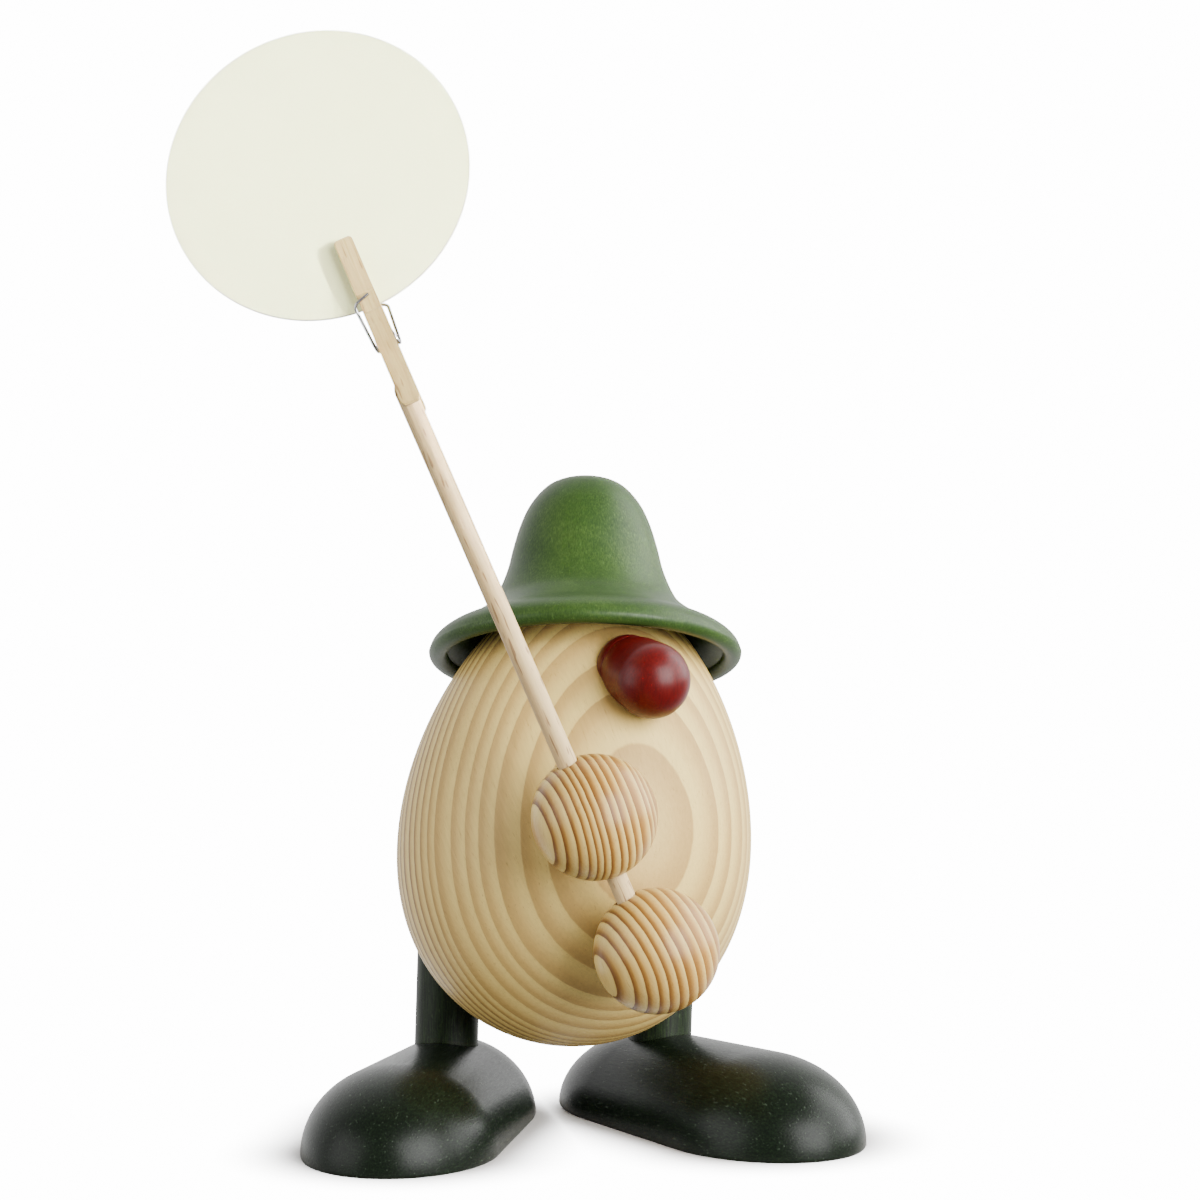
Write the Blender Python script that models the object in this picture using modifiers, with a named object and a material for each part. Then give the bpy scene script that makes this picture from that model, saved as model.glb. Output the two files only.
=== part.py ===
"""Wooden egghead figurine: a turned egg on legs, holding a round card in a small clothes peg on a stick."""
import math

import bmesh
import bpy
import numpy as np
from mathutils import Matrix, Vector

# Fits that several pieces share
GAP = 0.0003
DOWEL_BITE = 0.006
BLIND_ROOM = 0.0005

# The egg: the largest radius, half its length, how much the top narrows, where its middle stands and
# how far its axis leans for each metre of height
BODY_RADIUS = 0.04615
BODY_HALF_LENGTH = 0.0617
BODY_TAPER = -0.161
BODY_CENTRE = (0.0038, 0.0010, 0.08485)
BODY_LEAN = (0.111, 0.123)

# The hat: brim radius, height over the brim's middle plane and the roll round the brim
HAT_RADIUS = 0.0414
HAT_HEIGHT = 0.0483
HAT_ROLL = 0.0025
HAT_LEVEL_SHARE = 0.684
HAT_SHIFT = (-0.0014, 0.0008)
HAT_LEAN = (0.0677, 0.384)
HAT_DOWEL_RADIUS = 0.003
# Shares of the brim radius and of the height, from the top down to the brim
HAT_OUTLINE = ((0.0, 1.0), (0.125, 0.988), (0.227, 0.956), (0.300, 0.903), (0.370, 0.819), (0.423, 0.714),
               (0.466, 0.588), (0.502, 0.462), (0.560, 0.336), (0.626, 0.252), (0.756, 0.168),
               (0.901, 0.105), (0.972, 0.053))
# Shares of the brim radius and of the height, from the roll in under the brim
HAT_DISH = ((0.868, 0.006), (0.797, 0.042), (0.713, 0.095), (0.628, 0.168))

# The nose: a turned pear of two lobes, its seat on the egg and where it points
NOSE_BASE_RADIUS = 0.0085
NOSE_TIP_RADIUS = 0.0099
NOSE_LENGTH = 0.0120
NOSE_WAIST_RADIUS = 0.0093
NOSE_LEVEL_SHARE = 0.624
NOSE_TURN = math.radians(7.6)
NOSE_AIM = (0.332, -0.925, -0.185)
NOSE_DOWEL_RADIUS = 0.0025

# The hands: turned balls that touch the egg
HAND_RADIUS = 0.016
UPPER_HAND_LEVEL_SHARE = -0.036
UPPER_HAND_TURN = math.radians(-6.4)
LOWER_HAND_LEVEL_SHARE = -0.4575
LOWER_HAND_TURN = math.radians(12.25)
HAND_DOWEL_RADIUS = 0.002

# The legs and their place under the egg, in from the egg's largest radius
LEG_RADIUS = 0.0085
LEFT_LEG_INSET = 0.01645
RIGHT_LEG_INSET = 0.01755
LEG_BACK_INSET = 0.02665
LEG_LEAN = (0.033, -0.006)
LEG_BITE = 0.010
LEG_COVER = 0.0015

# The shoes: a toe dome and a heel dome joined by one smooth skin
LEFT_SPLAY = math.radians(25.0)
RIGHT_SPLAY = math.radians(23.5)
TOE_AHEAD = 0.0445
TOE_HALF_LENGTH = 0.0323
TOE_HALF_WIDTH = 0.0257
TOE_HEIGHT = 0.0233
TOE_POWER = 2.06
HEEL_HALF_LENGTH = 0.0347
HEEL_HALF_WIDTH = 0.0232
HEEL_HEIGHT = 0.0220
HEEL_POWER = 1.87
SOLE_EDGE = 0.0006

# The stick: its axis passes just off the middle of the upper hand
STICK_RADIUS = 0.0026
STICK_UP = (-0.4017, -0.0456, 0.9146)
STICK_SHIFT = (-0.00096, -0.00087, -0.0002)
STICK_REACH = 0.1133
STICK_SINK = 0.008

# The peg: distances run down the arms from the jaw's tip, and thicknesses out from its middle plane
PEG_UP = (-0.3101, 0.4421, 0.8417)
PEG_FACE = (-0.2904, -0.8871, 0.3589)
PEG_LENGTH = 0.048
PEG_WIDTH = 0.0048
PEG_SIDE = 0.0006
PEG_COIL = 0.0286
PEG_TIP_DEPTH = 0.0031
PEG_COIL_DEPTH = 0.0039
PEG_END_DEPTH = 0.0053
PEG_END_THICKNESS = 0.0015
PEG_CORNER = 0.0010
HOOK_GROOVE_TOP = 0.0159
HOOK_GROOVE_LENGTH = 0.0054
HOOK_GROOVE_DEPTH = 0.0004
PRESS_ANGLE = math.radians(3.0)

# The peg's wire spring
WIRE_RADIUS = 0.0004
COIL_RADIUS = 0.0018
COIL_TURNS = 4
HOOK_ABOVE_COIL = 0.0109
HOOK_END = 0.0007
LEG_BULGE = 0.0006

# The card held in the jaws
CARD_RADIUS = 0.0387
CARD_THICKNESS = 0.0008
CARD_BEYOND = 0.0197
CARD_SIDE = 0.0006
CARD_TRAVEL = 0.015

# Colours of the pieces: red, green, blue, then roughness and metallic
PALE_WOOD = ((0.78, 0.63, 0.40), 0.55, 0.0)
STRIPED_WOOD = ((0.68, 0.47, 0.24), 0.45, 0.0)
GREEN_STAIN = ((0.10, 0.17, 0.09), 0.45, 0.0)
DARK_STAIN = ((0.018, 0.028, 0.020), 0.45, 0.0)
RED_VARNISH = ((0.20, 0.020, 0.014), 0.30, 0.0)
BEECH = ((0.72, 0.60, 0.48), 0.60, 0.0)
PEG_WOOD = ((0.70, 0.56, 0.38), 0.60, 0.0)
BRIGHT_STEEL = ((0.62, 0.62, 0.63), 0.20, 1.0)
CREAM_BOARD = ((0.84, 0.84, 0.76), 0.70, 0.0)

for old in list(bpy.data.objects):
    bpy.data.objects.remove(old, do_unlink=True)

PARTS = bpy.data.collections.new("wooden_egghead")
CUTTERS = bpy.data.collections.new("cutters")
bpy.context.scene.collection.children.link(PARTS)
bpy.context.scene.collection.children.link(CUTTERS)
CUTTERS.hide_render = True


def upright(place, up):
    """Frame at a place with its Z along up and its Y as near to the world's Y as can be."""
    z_way = Vector(up).normalized()
    y_way = (Vector((0.0, 1.0, 0.0)) - z_way * z_way.y).normalized()
    x_way = y_way.cross(z_way)
    turn = Matrix((x_way, y_way, z_way)).transposed()
    return Matrix.Translation(Vector(place)) @ turn.to_4x4()


def frame_object(name, matrix, parent=None):
    """Empty that carries a frame, given in world terms before the root is moved."""
    empty = bpy.data.objects.new(name, None)
    empty.empty_display_size = 0.01
    PARTS.objects.link(empty)
    if parent is not None:
        empty.parent = parent
        matrix = parent.matrix_basis.inverted() @ matrix
    empty.matrix_basis = matrix
    return empty


def finish(name, look):
    """Principled material of one piece."""
    colour, roughness, metallic = look
    material = bpy.data.materials.new(name)
    material.use_nodes = True
    shader = material.node_tree.nodes["Principled BSDF"]
    shader.inputs["Base Color"].default_value = (*colour, 1.0)
    shader.inputs["Roughness"].default_value = roughness
    shader.inputs["Metallic"].default_value = metallic
    material.diffuse_color = (*colour, 1.0)
    return material


def place_mesh(name, mesh, parent, look=None):
    """Object for a mesh: a piece where it has a look, otherwise a cutter."""
    piece = bpy.data.objects.new(name, mesh)
    piece.parent = parent
    if look is None:
        CUTTERS.objects.link(piece)
        piece.hide_render = True
        piece.display_type = "WIRE"
    else:
        PARTS.objects.link(piece)
        mesh.materials.append(finish(name + "_finish", look))
    return piece


def mesh_of(name, shape):
    """Mesh from a finished bmesh, its faces set outward."""
    bmesh.ops.recalc_face_normals(shape, faces=shape.faces)
    mesh = bpy.data.meshes.new(name)
    shape.to_mesh(mesh)
    shape.free()
    return mesh


def turned(name, outline, steps, parent, look=None):
    """Solid turned round Z from an outline that runs down its outer side from pole to pole."""
    mesh = bpy.data.meshes.new(name)
    points = [(radius, 0.0, height) for radius, height in outline]
    mesh.from_pydata(points, [(i, i + 1) for i in range(len(points) - 1)], [])
    piece = place_mesh(name, mesh, parent, look)
    screw = piece.modifiers.new("turning", "SCREW")
    screw.axis = "Z"
    screw.angle = 2.0 * math.pi
    screw.steps = steps
    screw.render_steps = steps
    screw.use_merge_vertices = True
    screw.merge_threshold = 0.000001
    screw.use_smooth_shade = True
    return piece


def rod(name, radius, low, high, sides, parent, look=None):
    """Round rod along Z between two heights."""
    shape = bmesh.new()
    bmesh.ops.create_cone(shape, cap_ends=True, cap_tris=False, segments=sides, radius1=radius, radius2=radius,
                          depth=high - low, matrix=Matrix.Translation((0.0, 0.0, (low + high) / 2.0)))
    for face in shape.faces:
        face.smooth = len(face.verts) == 4
    return place_mesh(name, mesh_of(name, shape), parent, look)


def cut(piece, cutter):
    """Take the cutter's space out of a piece."""
    step = piece.modifiers.new("cut_" + cutter.name[:40], "BOOLEAN")
    step.operation = "DIFFERENCE"
    step.solver = "EXACT"
    step.object = cutter


def smooth_line(points, parts):
    """Points of a curve through the given ones, with the given number of parts between each two."""
    spots = [Vector(p) for p in points]
    line = []
    for i in range(len(spots) - 1):
        before = spots[max(i - 1, 0)]
        start = spots[i]
        end = spots[i + 1]
        after = spots[min(i + 2, len(spots) - 1)]
        for k in range(parts):
            t = k / parts
            way_in = (end - before) * 0.5
            way_out = (after - start) * 0.5
            spot = (start * (2 * t ** 3 - 3 * t ** 2 + 1) + way_in * (t ** 3 - 2 * t ** 2 + t)
                    + end * (3 * t ** 2 - 2 * t ** 3) + way_out * (t ** 3 - t ** 2))
            line.append(tuple(spot))
    line.append(tuple(spots[-1]))
    return line


# The egg's shape, which the hat, nose, hands and legs are fitted to
BODY_FRAME = upright(BODY_CENTRE, (BODY_LEAN[0], BODY_LEAN[1], 1.0))


def egg_radius(level):
    """Radius of the egg at a level from -1 at its bottom to 1 at its top."""
    return BODY_RADIUS * math.sqrt(max(1.0 - level * level, 0.0)) * (1.0 + BODY_TAPER * level)


def egg_slope(level):
    """Change of the egg's radius for each metre up its axis."""
    step = 1e-5
    return (egg_radius(level + step) - egg_radius(level - step)) / (2.0 * step * BODY_HALF_LENGTH)


def egg_surface(level, turn):
    """World point and outward direction on the egg, turned from the front towards the figure's left."""
    out = Vector((math.sin(turn), -math.cos(turn), 0.0))
    radius = egg_radius(level)
    normal = Vector((out.x, out.y, -egg_slope(level))).normalized()
    spot = BODY_FRAME @ Vector((out.x * radius, out.y * radius, level * BODY_HALF_LENGTH))
    return spot, (BODY_FRAME.to_3x3() @ normal)


def egg_outline(extra, parts):
    """Outline of the egg from top to bottom, grown by a clearance."""
    outline = [(0.0, BODY_HALF_LENGTH + extra)]
    for i in range(1, parts):
        level = math.cos(math.pi * i / parts)
        slope = egg_slope(level)
        size = math.hypot(1.0, slope)
        outline.append((egg_radius(level) + extra / size, level * BODY_HALF_LENGTH - extra * slope / size))
    outline.append((0.0, -BODY_HALF_LENGTH - extra))
    return outline


def in_egg(spot, cover):
    """Whether a world point lies inside the egg with at least the given cover."""
    local = BODY_FRAME.inverted() @ spot
    level = local.z / (BODY_HALF_LENGTH - cover)
    return abs(level) < 1.0 and math.hypot(local.x, local.y) < egg_radius(level) - cover


def reach_into_egg(frame, radius, cover):
    """Height along a frame's Z at which a whole round end lies inside the egg."""
    height = 0.0
    while height < 0.2:
        rim = [frame @ Vector((radius * math.cos(a), radius * math.sin(a), height))
               for a in np.linspace(0.0, 2.0 * math.pi, 16, endpoint=False)]
        if all(in_egg(spot, cover) for spot in rim):
            return height
        height += 0.00025
    return height


ROOT = frame_object("figurine", Matrix.Identity(4))
BODY_EMPTY = frame_object("body_frame", BODY_FRAME, ROOT)

# The egg
body = turned("body", egg_outline(0.0, 30), 48, BODY_EMPTY, PALE_WOOD)
egg_room = turned("egg_room", egg_outline(GAP, 30), 48, BODY_EMPTY)

# The hat, sunk over the egg's top and pinned by a hidden dowel
hat_seat = BODY_FRAME @ Vector((0.0, 0.0, HAT_LEVEL_SHARE * BODY_HALF_LENGTH))
hat_seat += Vector((HAT_SHIFT[0], HAT_SHIFT[1], 0.0))
HAT_FRAME = upright(hat_seat, (HAT_LEAN[0], HAT_LEAN[1], 1.0))
HAT_EMPTY = frame_object("hat_frame", HAT_FRAME, ROOT)
roll_middle = HAT_RADIUS - HAT_ROLL
hat_points = [(r * HAT_RADIUS, 0.0, h * HAT_HEIGHT) for r, h in HAT_OUTLINE]
hat_line = [(p[0], p[2]) for p in smooth_line(hat_points + [(HAT_RADIUS, 0.0, 0.0)], 2)]
hat_line += [(roll_middle + HAT_ROLL * math.cos(a), -HAT_ROLL * math.sin(a))
             for a in np.linspace(0.0, math.pi, 8)[1:]]
hat_line += [(r * HAT_RADIUS, h * HAT_HEIGHT) for r, h in HAT_DISH]
hat_line.append((0.0, HAT_DISH[-1][1] * HAT_HEIGHT))
hat = turned("hat", hat_line, 48, HAT_EMPTY, GREEN_STAIN)
cut(hat, egg_room)

egg_top = 0.0
while in_egg(HAT_FRAME @ Vector((0.0, 0.0, egg_top)), 0.0):
    egg_top += 0.0001
hat_dowel = rod("hat_dowel", HAT_DOWEL_RADIUS, egg_top - DOWEL_BITE, egg_top + DOWEL_BITE, 20, HAT_EMPTY, BEECH)
hat_bore = rod("hat_bore", HAT_DOWEL_RADIUS + GAP, egg_top - DOWEL_BITE - BLIND_ROOM,
               egg_top + DOWEL_BITE + BLIND_ROOM, 20, HAT_EMPTY)
cut(hat, hat_bore)
cut(body, hat_bore)

# The nose, hollowed at the back to sit on the egg
nose_seat, _ = egg_surface(NOSE_LEVEL_SHARE, NOSE_TURN)
NOSE_EMPTY = frame_object("nose_frame", upright(nose_seat, NOSE_AIM), ROOT)
nose_line = [(NOSE_TIP_RADIUS * math.sin(a), NOSE_LENGTH + NOSE_TIP_RADIUS * math.cos(a))
             for a in np.linspace(0.0, math.radians(100.0), 12)]
nose_line.append((NOSE_WAIST_RADIUS, NOSE_LENGTH * 0.36))
nose_line += [(NOSE_BASE_RADIUS * math.sin(a), NOSE_BASE_RADIUS * math.cos(a))
              for a in np.linspace(math.radians(86.0), math.pi, 9)]
nose_line[0] = (0.0, NOSE_LENGTH + NOSE_TIP_RADIUS)
nose_line[-1] = (0.0, -NOSE_BASE_RADIUS)
nose = turned("nose", nose_line, 32, NOSE_EMPTY, RED_VARNISH)
cut(nose, egg_room)
nose_dowel = rod("nose_dowel", NOSE_DOWEL_RADIUS, -DOWEL_BITE, DOWEL_BITE, 16, NOSE_EMPTY, BEECH)
nose_bore = rod("nose_bore", NOSE_DOWEL_RADIUS + GAP, -DOWEL_BITE - BLIND_ROOM, DOWEL_BITE + BLIND_ROOM, 16,
                NOSE_EMPTY)
cut(nose, nose_bore)
cut(body, nose_bore)


def hand(name, level, turn):
    """Ball that touches the egg, with its hidden dowel; gives the ball and its middle."""
    touch, normal = egg_surface(level, turn)
    middle = touch + normal * (HAND_RADIUS + GAP)
    empty = frame_object(name + "_frame", upright(middle, normal), ROOT)
    line = [(HAND_RADIUS * math.sin(a), HAND_RADIUS * math.cos(a)) for a in np.linspace(0.0, math.pi, 21)]
    line[0] = (0.0, HAND_RADIUS)
    line[-1] = (0.0, -HAND_RADIUS)
    ball = turned(name, line, 36, empty, STRIPED_WOOD)
    outer = -HAND_RADIUS + DOWEL_BITE
    inner = -HAND_RADIUS - GAP - DOWEL_BITE
    rod(name + "_dowel", HAND_DOWEL_RADIUS, inner, outer, 16, empty, BEECH)
    bore = rod(name + "_dowel_bore", HAND_DOWEL_RADIUS + GAP, inner - BLIND_ROOM, outer + BLIND_ROOM, 16, empty)
    cut(ball, bore)
    cut(body, bore)
    return ball, middle


upper_hand, upper_middle = hand("upper_hand", UPPER_HAND_LEVEL_SHARE, UPPER_HAND_TURN)
lower_hand, lower_middle = hand("lower_hand", LOWER_HAND_LEVEL_SHARE, LOWER_HAND_TURN)


def dome(ahead, half_length, half_width, height, power):
    """Points of a flat-bottomed dome, rounded at the sole's edge."""
    points = []
    for around in np.linspace(0.0, 2.0 * math.pi, 36, endpoint=False):
        cosine = math.cos(around)
        sine = math.sin(around)
        inset = SOLE_EDGE * 0.6
        points.append((ahead + (half_length - inset) * cosine, (half_width - inset) * sine, 0.0))
        for rise in np.linspace(0.0, math.pi / 2.0, 10)[:-1]:
            spread = math.cos(rise) ** (2.0 / power)
            lift = SOLE_EDGE + (height - SOLE_EDGE) * math.sin(rise) ** (2.0 / power)
            points.append((ahead + half_length * spread * cosine, half_width * spread * sine, lift))
    points.append((ahead, 0.0, height))
    return points


def shoe_and_leg(side, sign, inset, splay):
    """One shoe with the leg that stands in it and reaches into the egg."""
    toe_way = Vector((sign * math.sin(splay), -math.cos(splay), 0.0))
    side_way = Vector((0.0, 0.0, 1.0)).cross(toe_way)
    turn = Matrix((toe_way, side_way, Vector((0.0, 0.0, 1.0)))).transposed().to_4x4()
    place = Vector((sign * (BODY_RADIUS - inset), BODY_RADIUS - LEG_BACK_INSET, 0.0))
    shoe_empty = frame_object(side + "_shoe_frame", Matrix.Translation(place) @ turn, ROOT)
    shape = bmesh.new()
    points = dome(TOE_AHEAD, TOE_HALF_LENGTH, TOE_HALF_WIDTH, TOE_HEIGHT, TOE_POWER)
    points += dome(0.0, HEEL_HALF_LENGTH, HEEL_HALF_WIDTH, HEEL_HEIGHT, HEEL_POWER)
    for point in points:
        shape.verts.new(point)
    result = bmesh.ops.convex_hull(shape, input=shape.verts)
    spare = {item for item in result["geom_interior"] + result["geom_unused"] if isinstance(item, bmesh.types.BMVert)}
    bmesh.ops.delete(shape, geom=list(spare), context="VERTS")
    shape.normal_update()
    sole = [face for face in shape.faces if all(abs(vert.co.z) < 1e-7 for vert in face.verts)]
    bmesh.ops.dissolve_faces(shape, faces=sole)
    for face in shape.faces:
        face.smooth = len(face.verts) < 5
    shoe = place_mesh(side + "_shoe", mesh_of(side + "_shoe", shape), shoe_empty, DARK_STAIN)

    leg_frame = upright(place + Vector((0.0, 0.0, HEEL_HEIGHT)), (LEG_LEAN[0], LEG_LEAN[1], 1.0))
    leg_empty = frame_object(side + "_leg_frame", leg_frame, ROOT)
    top = reach_into_egg(leg_frame, LEG_RADIUS, LEG_COVER)
    rod(side + "_leg", LEG_RADIUS, -LEG_BITE, top, 36, leg_empty, DARK_STAIN)
    shoe_bore = rod(side + "_shoe_bore", LEG_RADIUS + GAP, -LEG_BITE - GAP, LEG_BITE, 36, leg_empty)
    body_bore = rod(side + "_body_bore", LEG_RADIUS + GAP, 0.0, top + GAP, 36, leg_empty)
    cut(shoe, shoe_bore)
    cut(body, body_bore)


shoe_and_leg("left", 1.0, LEFT_LEG_INSET, LEFT_SPLAY)
shoe_and_leg("right", -1.0, RIGHT_LEG_INSET, RIGHT_SPLAY)

# The stick's frame lies on the axis that the stick turns about
stick_up = Vector(STICK_UP).normalized()
stick_place = upper_middle + Vector(STICK_SHIFT)
STICK_EMPTY = frame_object("stick_frame", upright(stick_place, stick_up), ROOT)

# The peg's frame lies on the coil: X across the arms, Y away from the front, Z up to the jaws
peg_face = Vector(PEG_FACE).normalized()
peg_up = (Vector(PEG_UP) - peg_face * Vector(PEG_UP).dot(peg_face)).normalized()
peg_across = peg_up.cross(peg_face)
stick_depth = STICK_RADIUS / math.sqrt(1.0 - stick_up.dot(peg_face) ** 2)
inner_end = PEG_END_DEPTH - PEG_END_THICKNESS
peg_place = stick_place + stick_up * STICK_REACH + peg_across * PEG_SIDE
peg_place -= peg_face * (inner_end - GAP - stick_depth)
peg_place += peg_up * (PEG_LENGTH - PEG_COIL)
peg_turn = Matrix((peg_across, -peg_face, peg_up)).transposed().to_4x4()
PEG_EMPTY = frame_object("peg_frame", Matrix.Translation(peg_place) @ peg_turn, STICK_EMPTY)

# Distances in the peg that follow from its sizes
jaw_inner = CARD_THICKNESS / 2.0 + GAP
coil_outer = COIL_RADIUS + WIRE_RADIUS
groove_radius = coil_outer + GAP
taper_start = PEG_COIL + math.sqrt(groove_radius ** 2 - (jaw_inner + 0.0002) ** 2)


def outer_depth(down):
    """Distance of an arm's outer face from the middle plane."""
    if down < PEG_COIL:
        return PEG_TIP_DEPTH + (PEG_COIL_DEPTH - PEG_TIP_DEPTH) * down / PEG_COIL
    share = (down - PEG_COIL) / (PEG_LENGTH - PEG_COIL)
    return PEG_COIL_DEPTH + (PEG_END_DEPTH - PEG_COIL_DEPTH) * share


def arm_outline(shorter):
    """Side outline of an arm, each end drawn in by the given length."""
    top = shorter
    end = PEG_LENGTH - shorter
    line = [(top, outer_depth(top))]
    line.append((HOOK_GROOVE_TOP, outer_depth(HOOK_GROOVE_TOP)))
    line.append((HOOK_GROOVE_TOP + HOOK_GROOVE_DEPTH, outer_depth(HOOK_GROOVE_TOP) - HOOK_GROOVE_DEPTH))
    low = HOOK_GROOVE_TOP + HOOK_GROOVE_LENGTH
    line.append((low - HOOK_GROOVE_DEPTH, outer_depth(low) - HOOK_GROOVE_DEPTH))
    line.append((low, outer_depth(low)))
    line.append((PEG_COIL, outer_depth(PEG_COIL)))
    line.append((end, outer_depth(end)))
    share = (end - taper_start) / (PEG_LENGTH - taper_start)
    line.append((end, jaw_inner + 0.0002 + (inner_end - jaw_inner - 0.0002) * share))
    start = math.asin((jaw_inner + 0.0002) / groove_radius)
    stop = math.pi - math.asin(jaw_inner / groove_radius)
    line += [(PEG_COIL + groove_radius * math.cos(a), groove_radius * math.sin(a))
             for a in np.linspace(start, stop, 9)]
    line.append((top, jaw_inner))
    return line


def arm(name, sign, look):
    """One arm of the peg, lofted across its width so that its corners are rounded."""
    half = PEG_WIDTH / 2.0
    stations = [(0.0, 1.0), (0.3, 0.3), (1.0, 0.0)]
    rows = [(-half + PEG_CORNER * along, PEG_CORNER * short) for along, short in stations]
    rows += [(half - PEG_CORNER * along, PEG_CORNER * short) for along, short in reversed(stations)]
    shape = bmesh.new()
    rings = []
    for across, shorter in rows:
        rings.append([shape.verts.new((across, -sign * depth, PEG_COIL - down))
                      for down, depth in arm_outline(shorter)])
    count = len(rings[0])
    for first, second in zip(rings, rings[1:]):
        for i in range(count):
            j = (i + 1) % count
            shape.faces.new((first[i], first[j], second[j], second[i]))
    shape.faces.new(list(reversed(rings[0])))
    shape.faces.new(rings[-1])
    return place_mesh(name, mesh_of(name, shape), PEG_EMPTY, look)


arm("peg_front_arm", 1.0, PEG_WOOD)
arm("peg_rear_arm", -1.0, PEG_WOOD)

# The stick: sunk in the lower hand, through the upper one, cut to a wedge behind the front arm
stick_low = (lower_middle - stick_place).dot(stick_up) - STICK_SINK
stick_high = STICK_REACH + (PEG_LENGTH - taper_start) * 1.2
stick = rod("stick", STICK_RADIUS, stick_low, stick_high, 24, STICK_EMPTY, BEECH)
stick_room = STICK_RADIUS + GAP
stick_bore = rod("stick_bore", stick_room, stick_low - BLIND_ROOM, HAND_RADIUS * 2.0, 24, STICK_EMPTY)
cut(upper_hand, stick_bore)
cut(lower_hand, stick_bore)

seat_way = math.atan2(inner_end - jaw_inner - 0.0002, PEG_LENGTH - taper_start)
wedge_size = PEG_LENGTH
wedge_shape = bmesh.new()
wedge_low = PEG_COIL - PEG_LENGTH - GAP
wedge_front = -(inner_end - GAP)
wedge_back = wedge_front + wedge_size * math.tan(seat_way)
for across in (-PEG_LENGTH, PEG_LENGTH):
    wedge_shape.verts.new((across, wedge_front, wedge_low))
    wedge_shape.verts.new((across, wedge_back, wedge_low + wedge_size))
    wedge_shape.verts.new((across, -wedge_size, wedge_low + wedge_size))
    wedge_shape.verts.new((across, -wedge_size, wedge_low))
wedge_shape.verts.ensure_lookup_table()
corners = wedge_shape.verts
wedge_shape.faces.new([corners[i] for i in (0, 1, 2, 3)])
wedge_shape.faces.new([corners[i] for i in (7, 6, 5, 4)])
for i in range(4):
    j = (i + 1) % 4
    wedge_shape.faces.new([corners[k] for k in (j, i, i + 4, j + 4)])
wedge_room = place_mesh("wedge_room", mesh_of("wedge_room", wedge_shape), PEG_EMPTY)
cut(stick, wedge_room)

# The spring: one wire from the front hook down to the coil and up to the rear hook
side_x = PEG_WIDTH / 2.0 + GAP + WIRE_RADIUS + 0.00005
hook_down = PEG_COIL - HOOK_ABOVE_COIL
hook_out = outer_depth(hook_down) - HOOK_GROOVE_DEPTH + GAP + WIRE_RADIUS + 0.0001
bend_x = side_x + LEG_BULGE
leg_top = Vector((-bend_x, hook_out - 0.0008, HOOK_ABOVE_COIL - 0.0018))
tangent = math.atan2(leg_top.z, leg_top.y) - math.acos(COIL_RADIUS / math.hypot(leg_top.y, leg_top.z))
turn_total = 2.0 * math.pi * COIL_TURNS + math.pi + 2.0 * tangent
coil_points = []
coil_steps = COIL_TURNS * 10 + 5
for i in range(coil_steps + 1):
    share = i / coil_steps
    angle = tangent - turn_total * share
    coil_points.append(Vector((-side_x + 2.0 * side_x * share, COIL_RADIUS * math.cos(angle),
                               COIL_RADIUS * math.sin(angle))))
bend_from = Vector((-PEG_WIDTH / 2.0 + 0.0002, hook_out, HOOK_ABOVE_COIL))
bend_over = Vector((-bend_x, hook_out, HOOK_ABOVE_COIL - 0.0005))
front_leg = [Vector((HOOK_END, hook_out, HOOK_ABOVE_COIL + 0.0009))]
for i in range(7):
    t = i / 6.0
    front_leg.append(bend_from * (1 - t) ** 2 + bend_over * (2 * t * (1 - t)) + leg_top * t ** 2)
for i in range(1, 4):
    front_leg.append(leg_top.lerp(coil_points[0], i / 4.0))
half_turn = Matrix.Diagonal((-1.0, -1.0, 1.0))
wire_points = front_leg + coil_points + [half_turn @ spot for spot in reversed(front_leg)]
wire = bpy.data.curves.new("peg_spring", "CURVE")
wire.dimensions = "3D"
wire.bevel_depth = WIRE_RADIUS
wire.bevel_resolution = 1
wire.use_fill_caps = True
spline = wire.splines.new("POLY")
spline.points.add(len(wire_points) - 1)
for point, spot in zip(spline.points, wire_points):
    point.co = (spot.x, -spot.y, spot.z, 1.0)
spring = bpy.data.objects.new("peg_spring", wire)
PARTS.objects.link(spring)
spring.parent = PEG_EMPTY
wire.materials.append(finish("peg_spring_finish", BRIGHT_STEEL))

# The card, held between the jaws
card_shape = bmesh.new()
bmesh.ops.create_cone(card_shape, cap_ends=True, cap_tris=False, segments=96, radius1=CARD_RADIUS,
                      radius2=CARD_RADIUS, depth=CARD_THICKNESS, matrix=Matrix.Rotation(math.pi / 2.0, 4, "X"))
card = place_mesh("card", mesh_of("card", card_shape), PEG_EMPTY, CREAM_BOARD)
card.location = (CARD_SIDE, 0.0, PEG_COIL + CARD_BEYOND)

# The origin goes to the middle of the bottom of everything
bpy.context.view_layer.update()
graph = bpy.context.evaluated_depsgraph_get()
corners_low = Vector((1.0, 1.0, 1.0))
corners_high = -corners_low
for piece in PARTS.objects:
    if piece.type == "EMPTY":
        continue
    solid = piece.evaluated_get(graph)
    mesh = solid.to_mesh()
    for vert in mesh.vertices:
        spot = solid.matrix_world @ vert.co
        corners_low = Vector(map(min, corners_low, spot))
        corners_high = Vector(map(max, corners_high, spot))
    solid.to_mesh_clear()
middle = (corners_low + corners_high) / 2.0
ROOT.location = (-middle.x, -middle.y, -corners_low.z)
bpy.context.view_layer.update()

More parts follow.
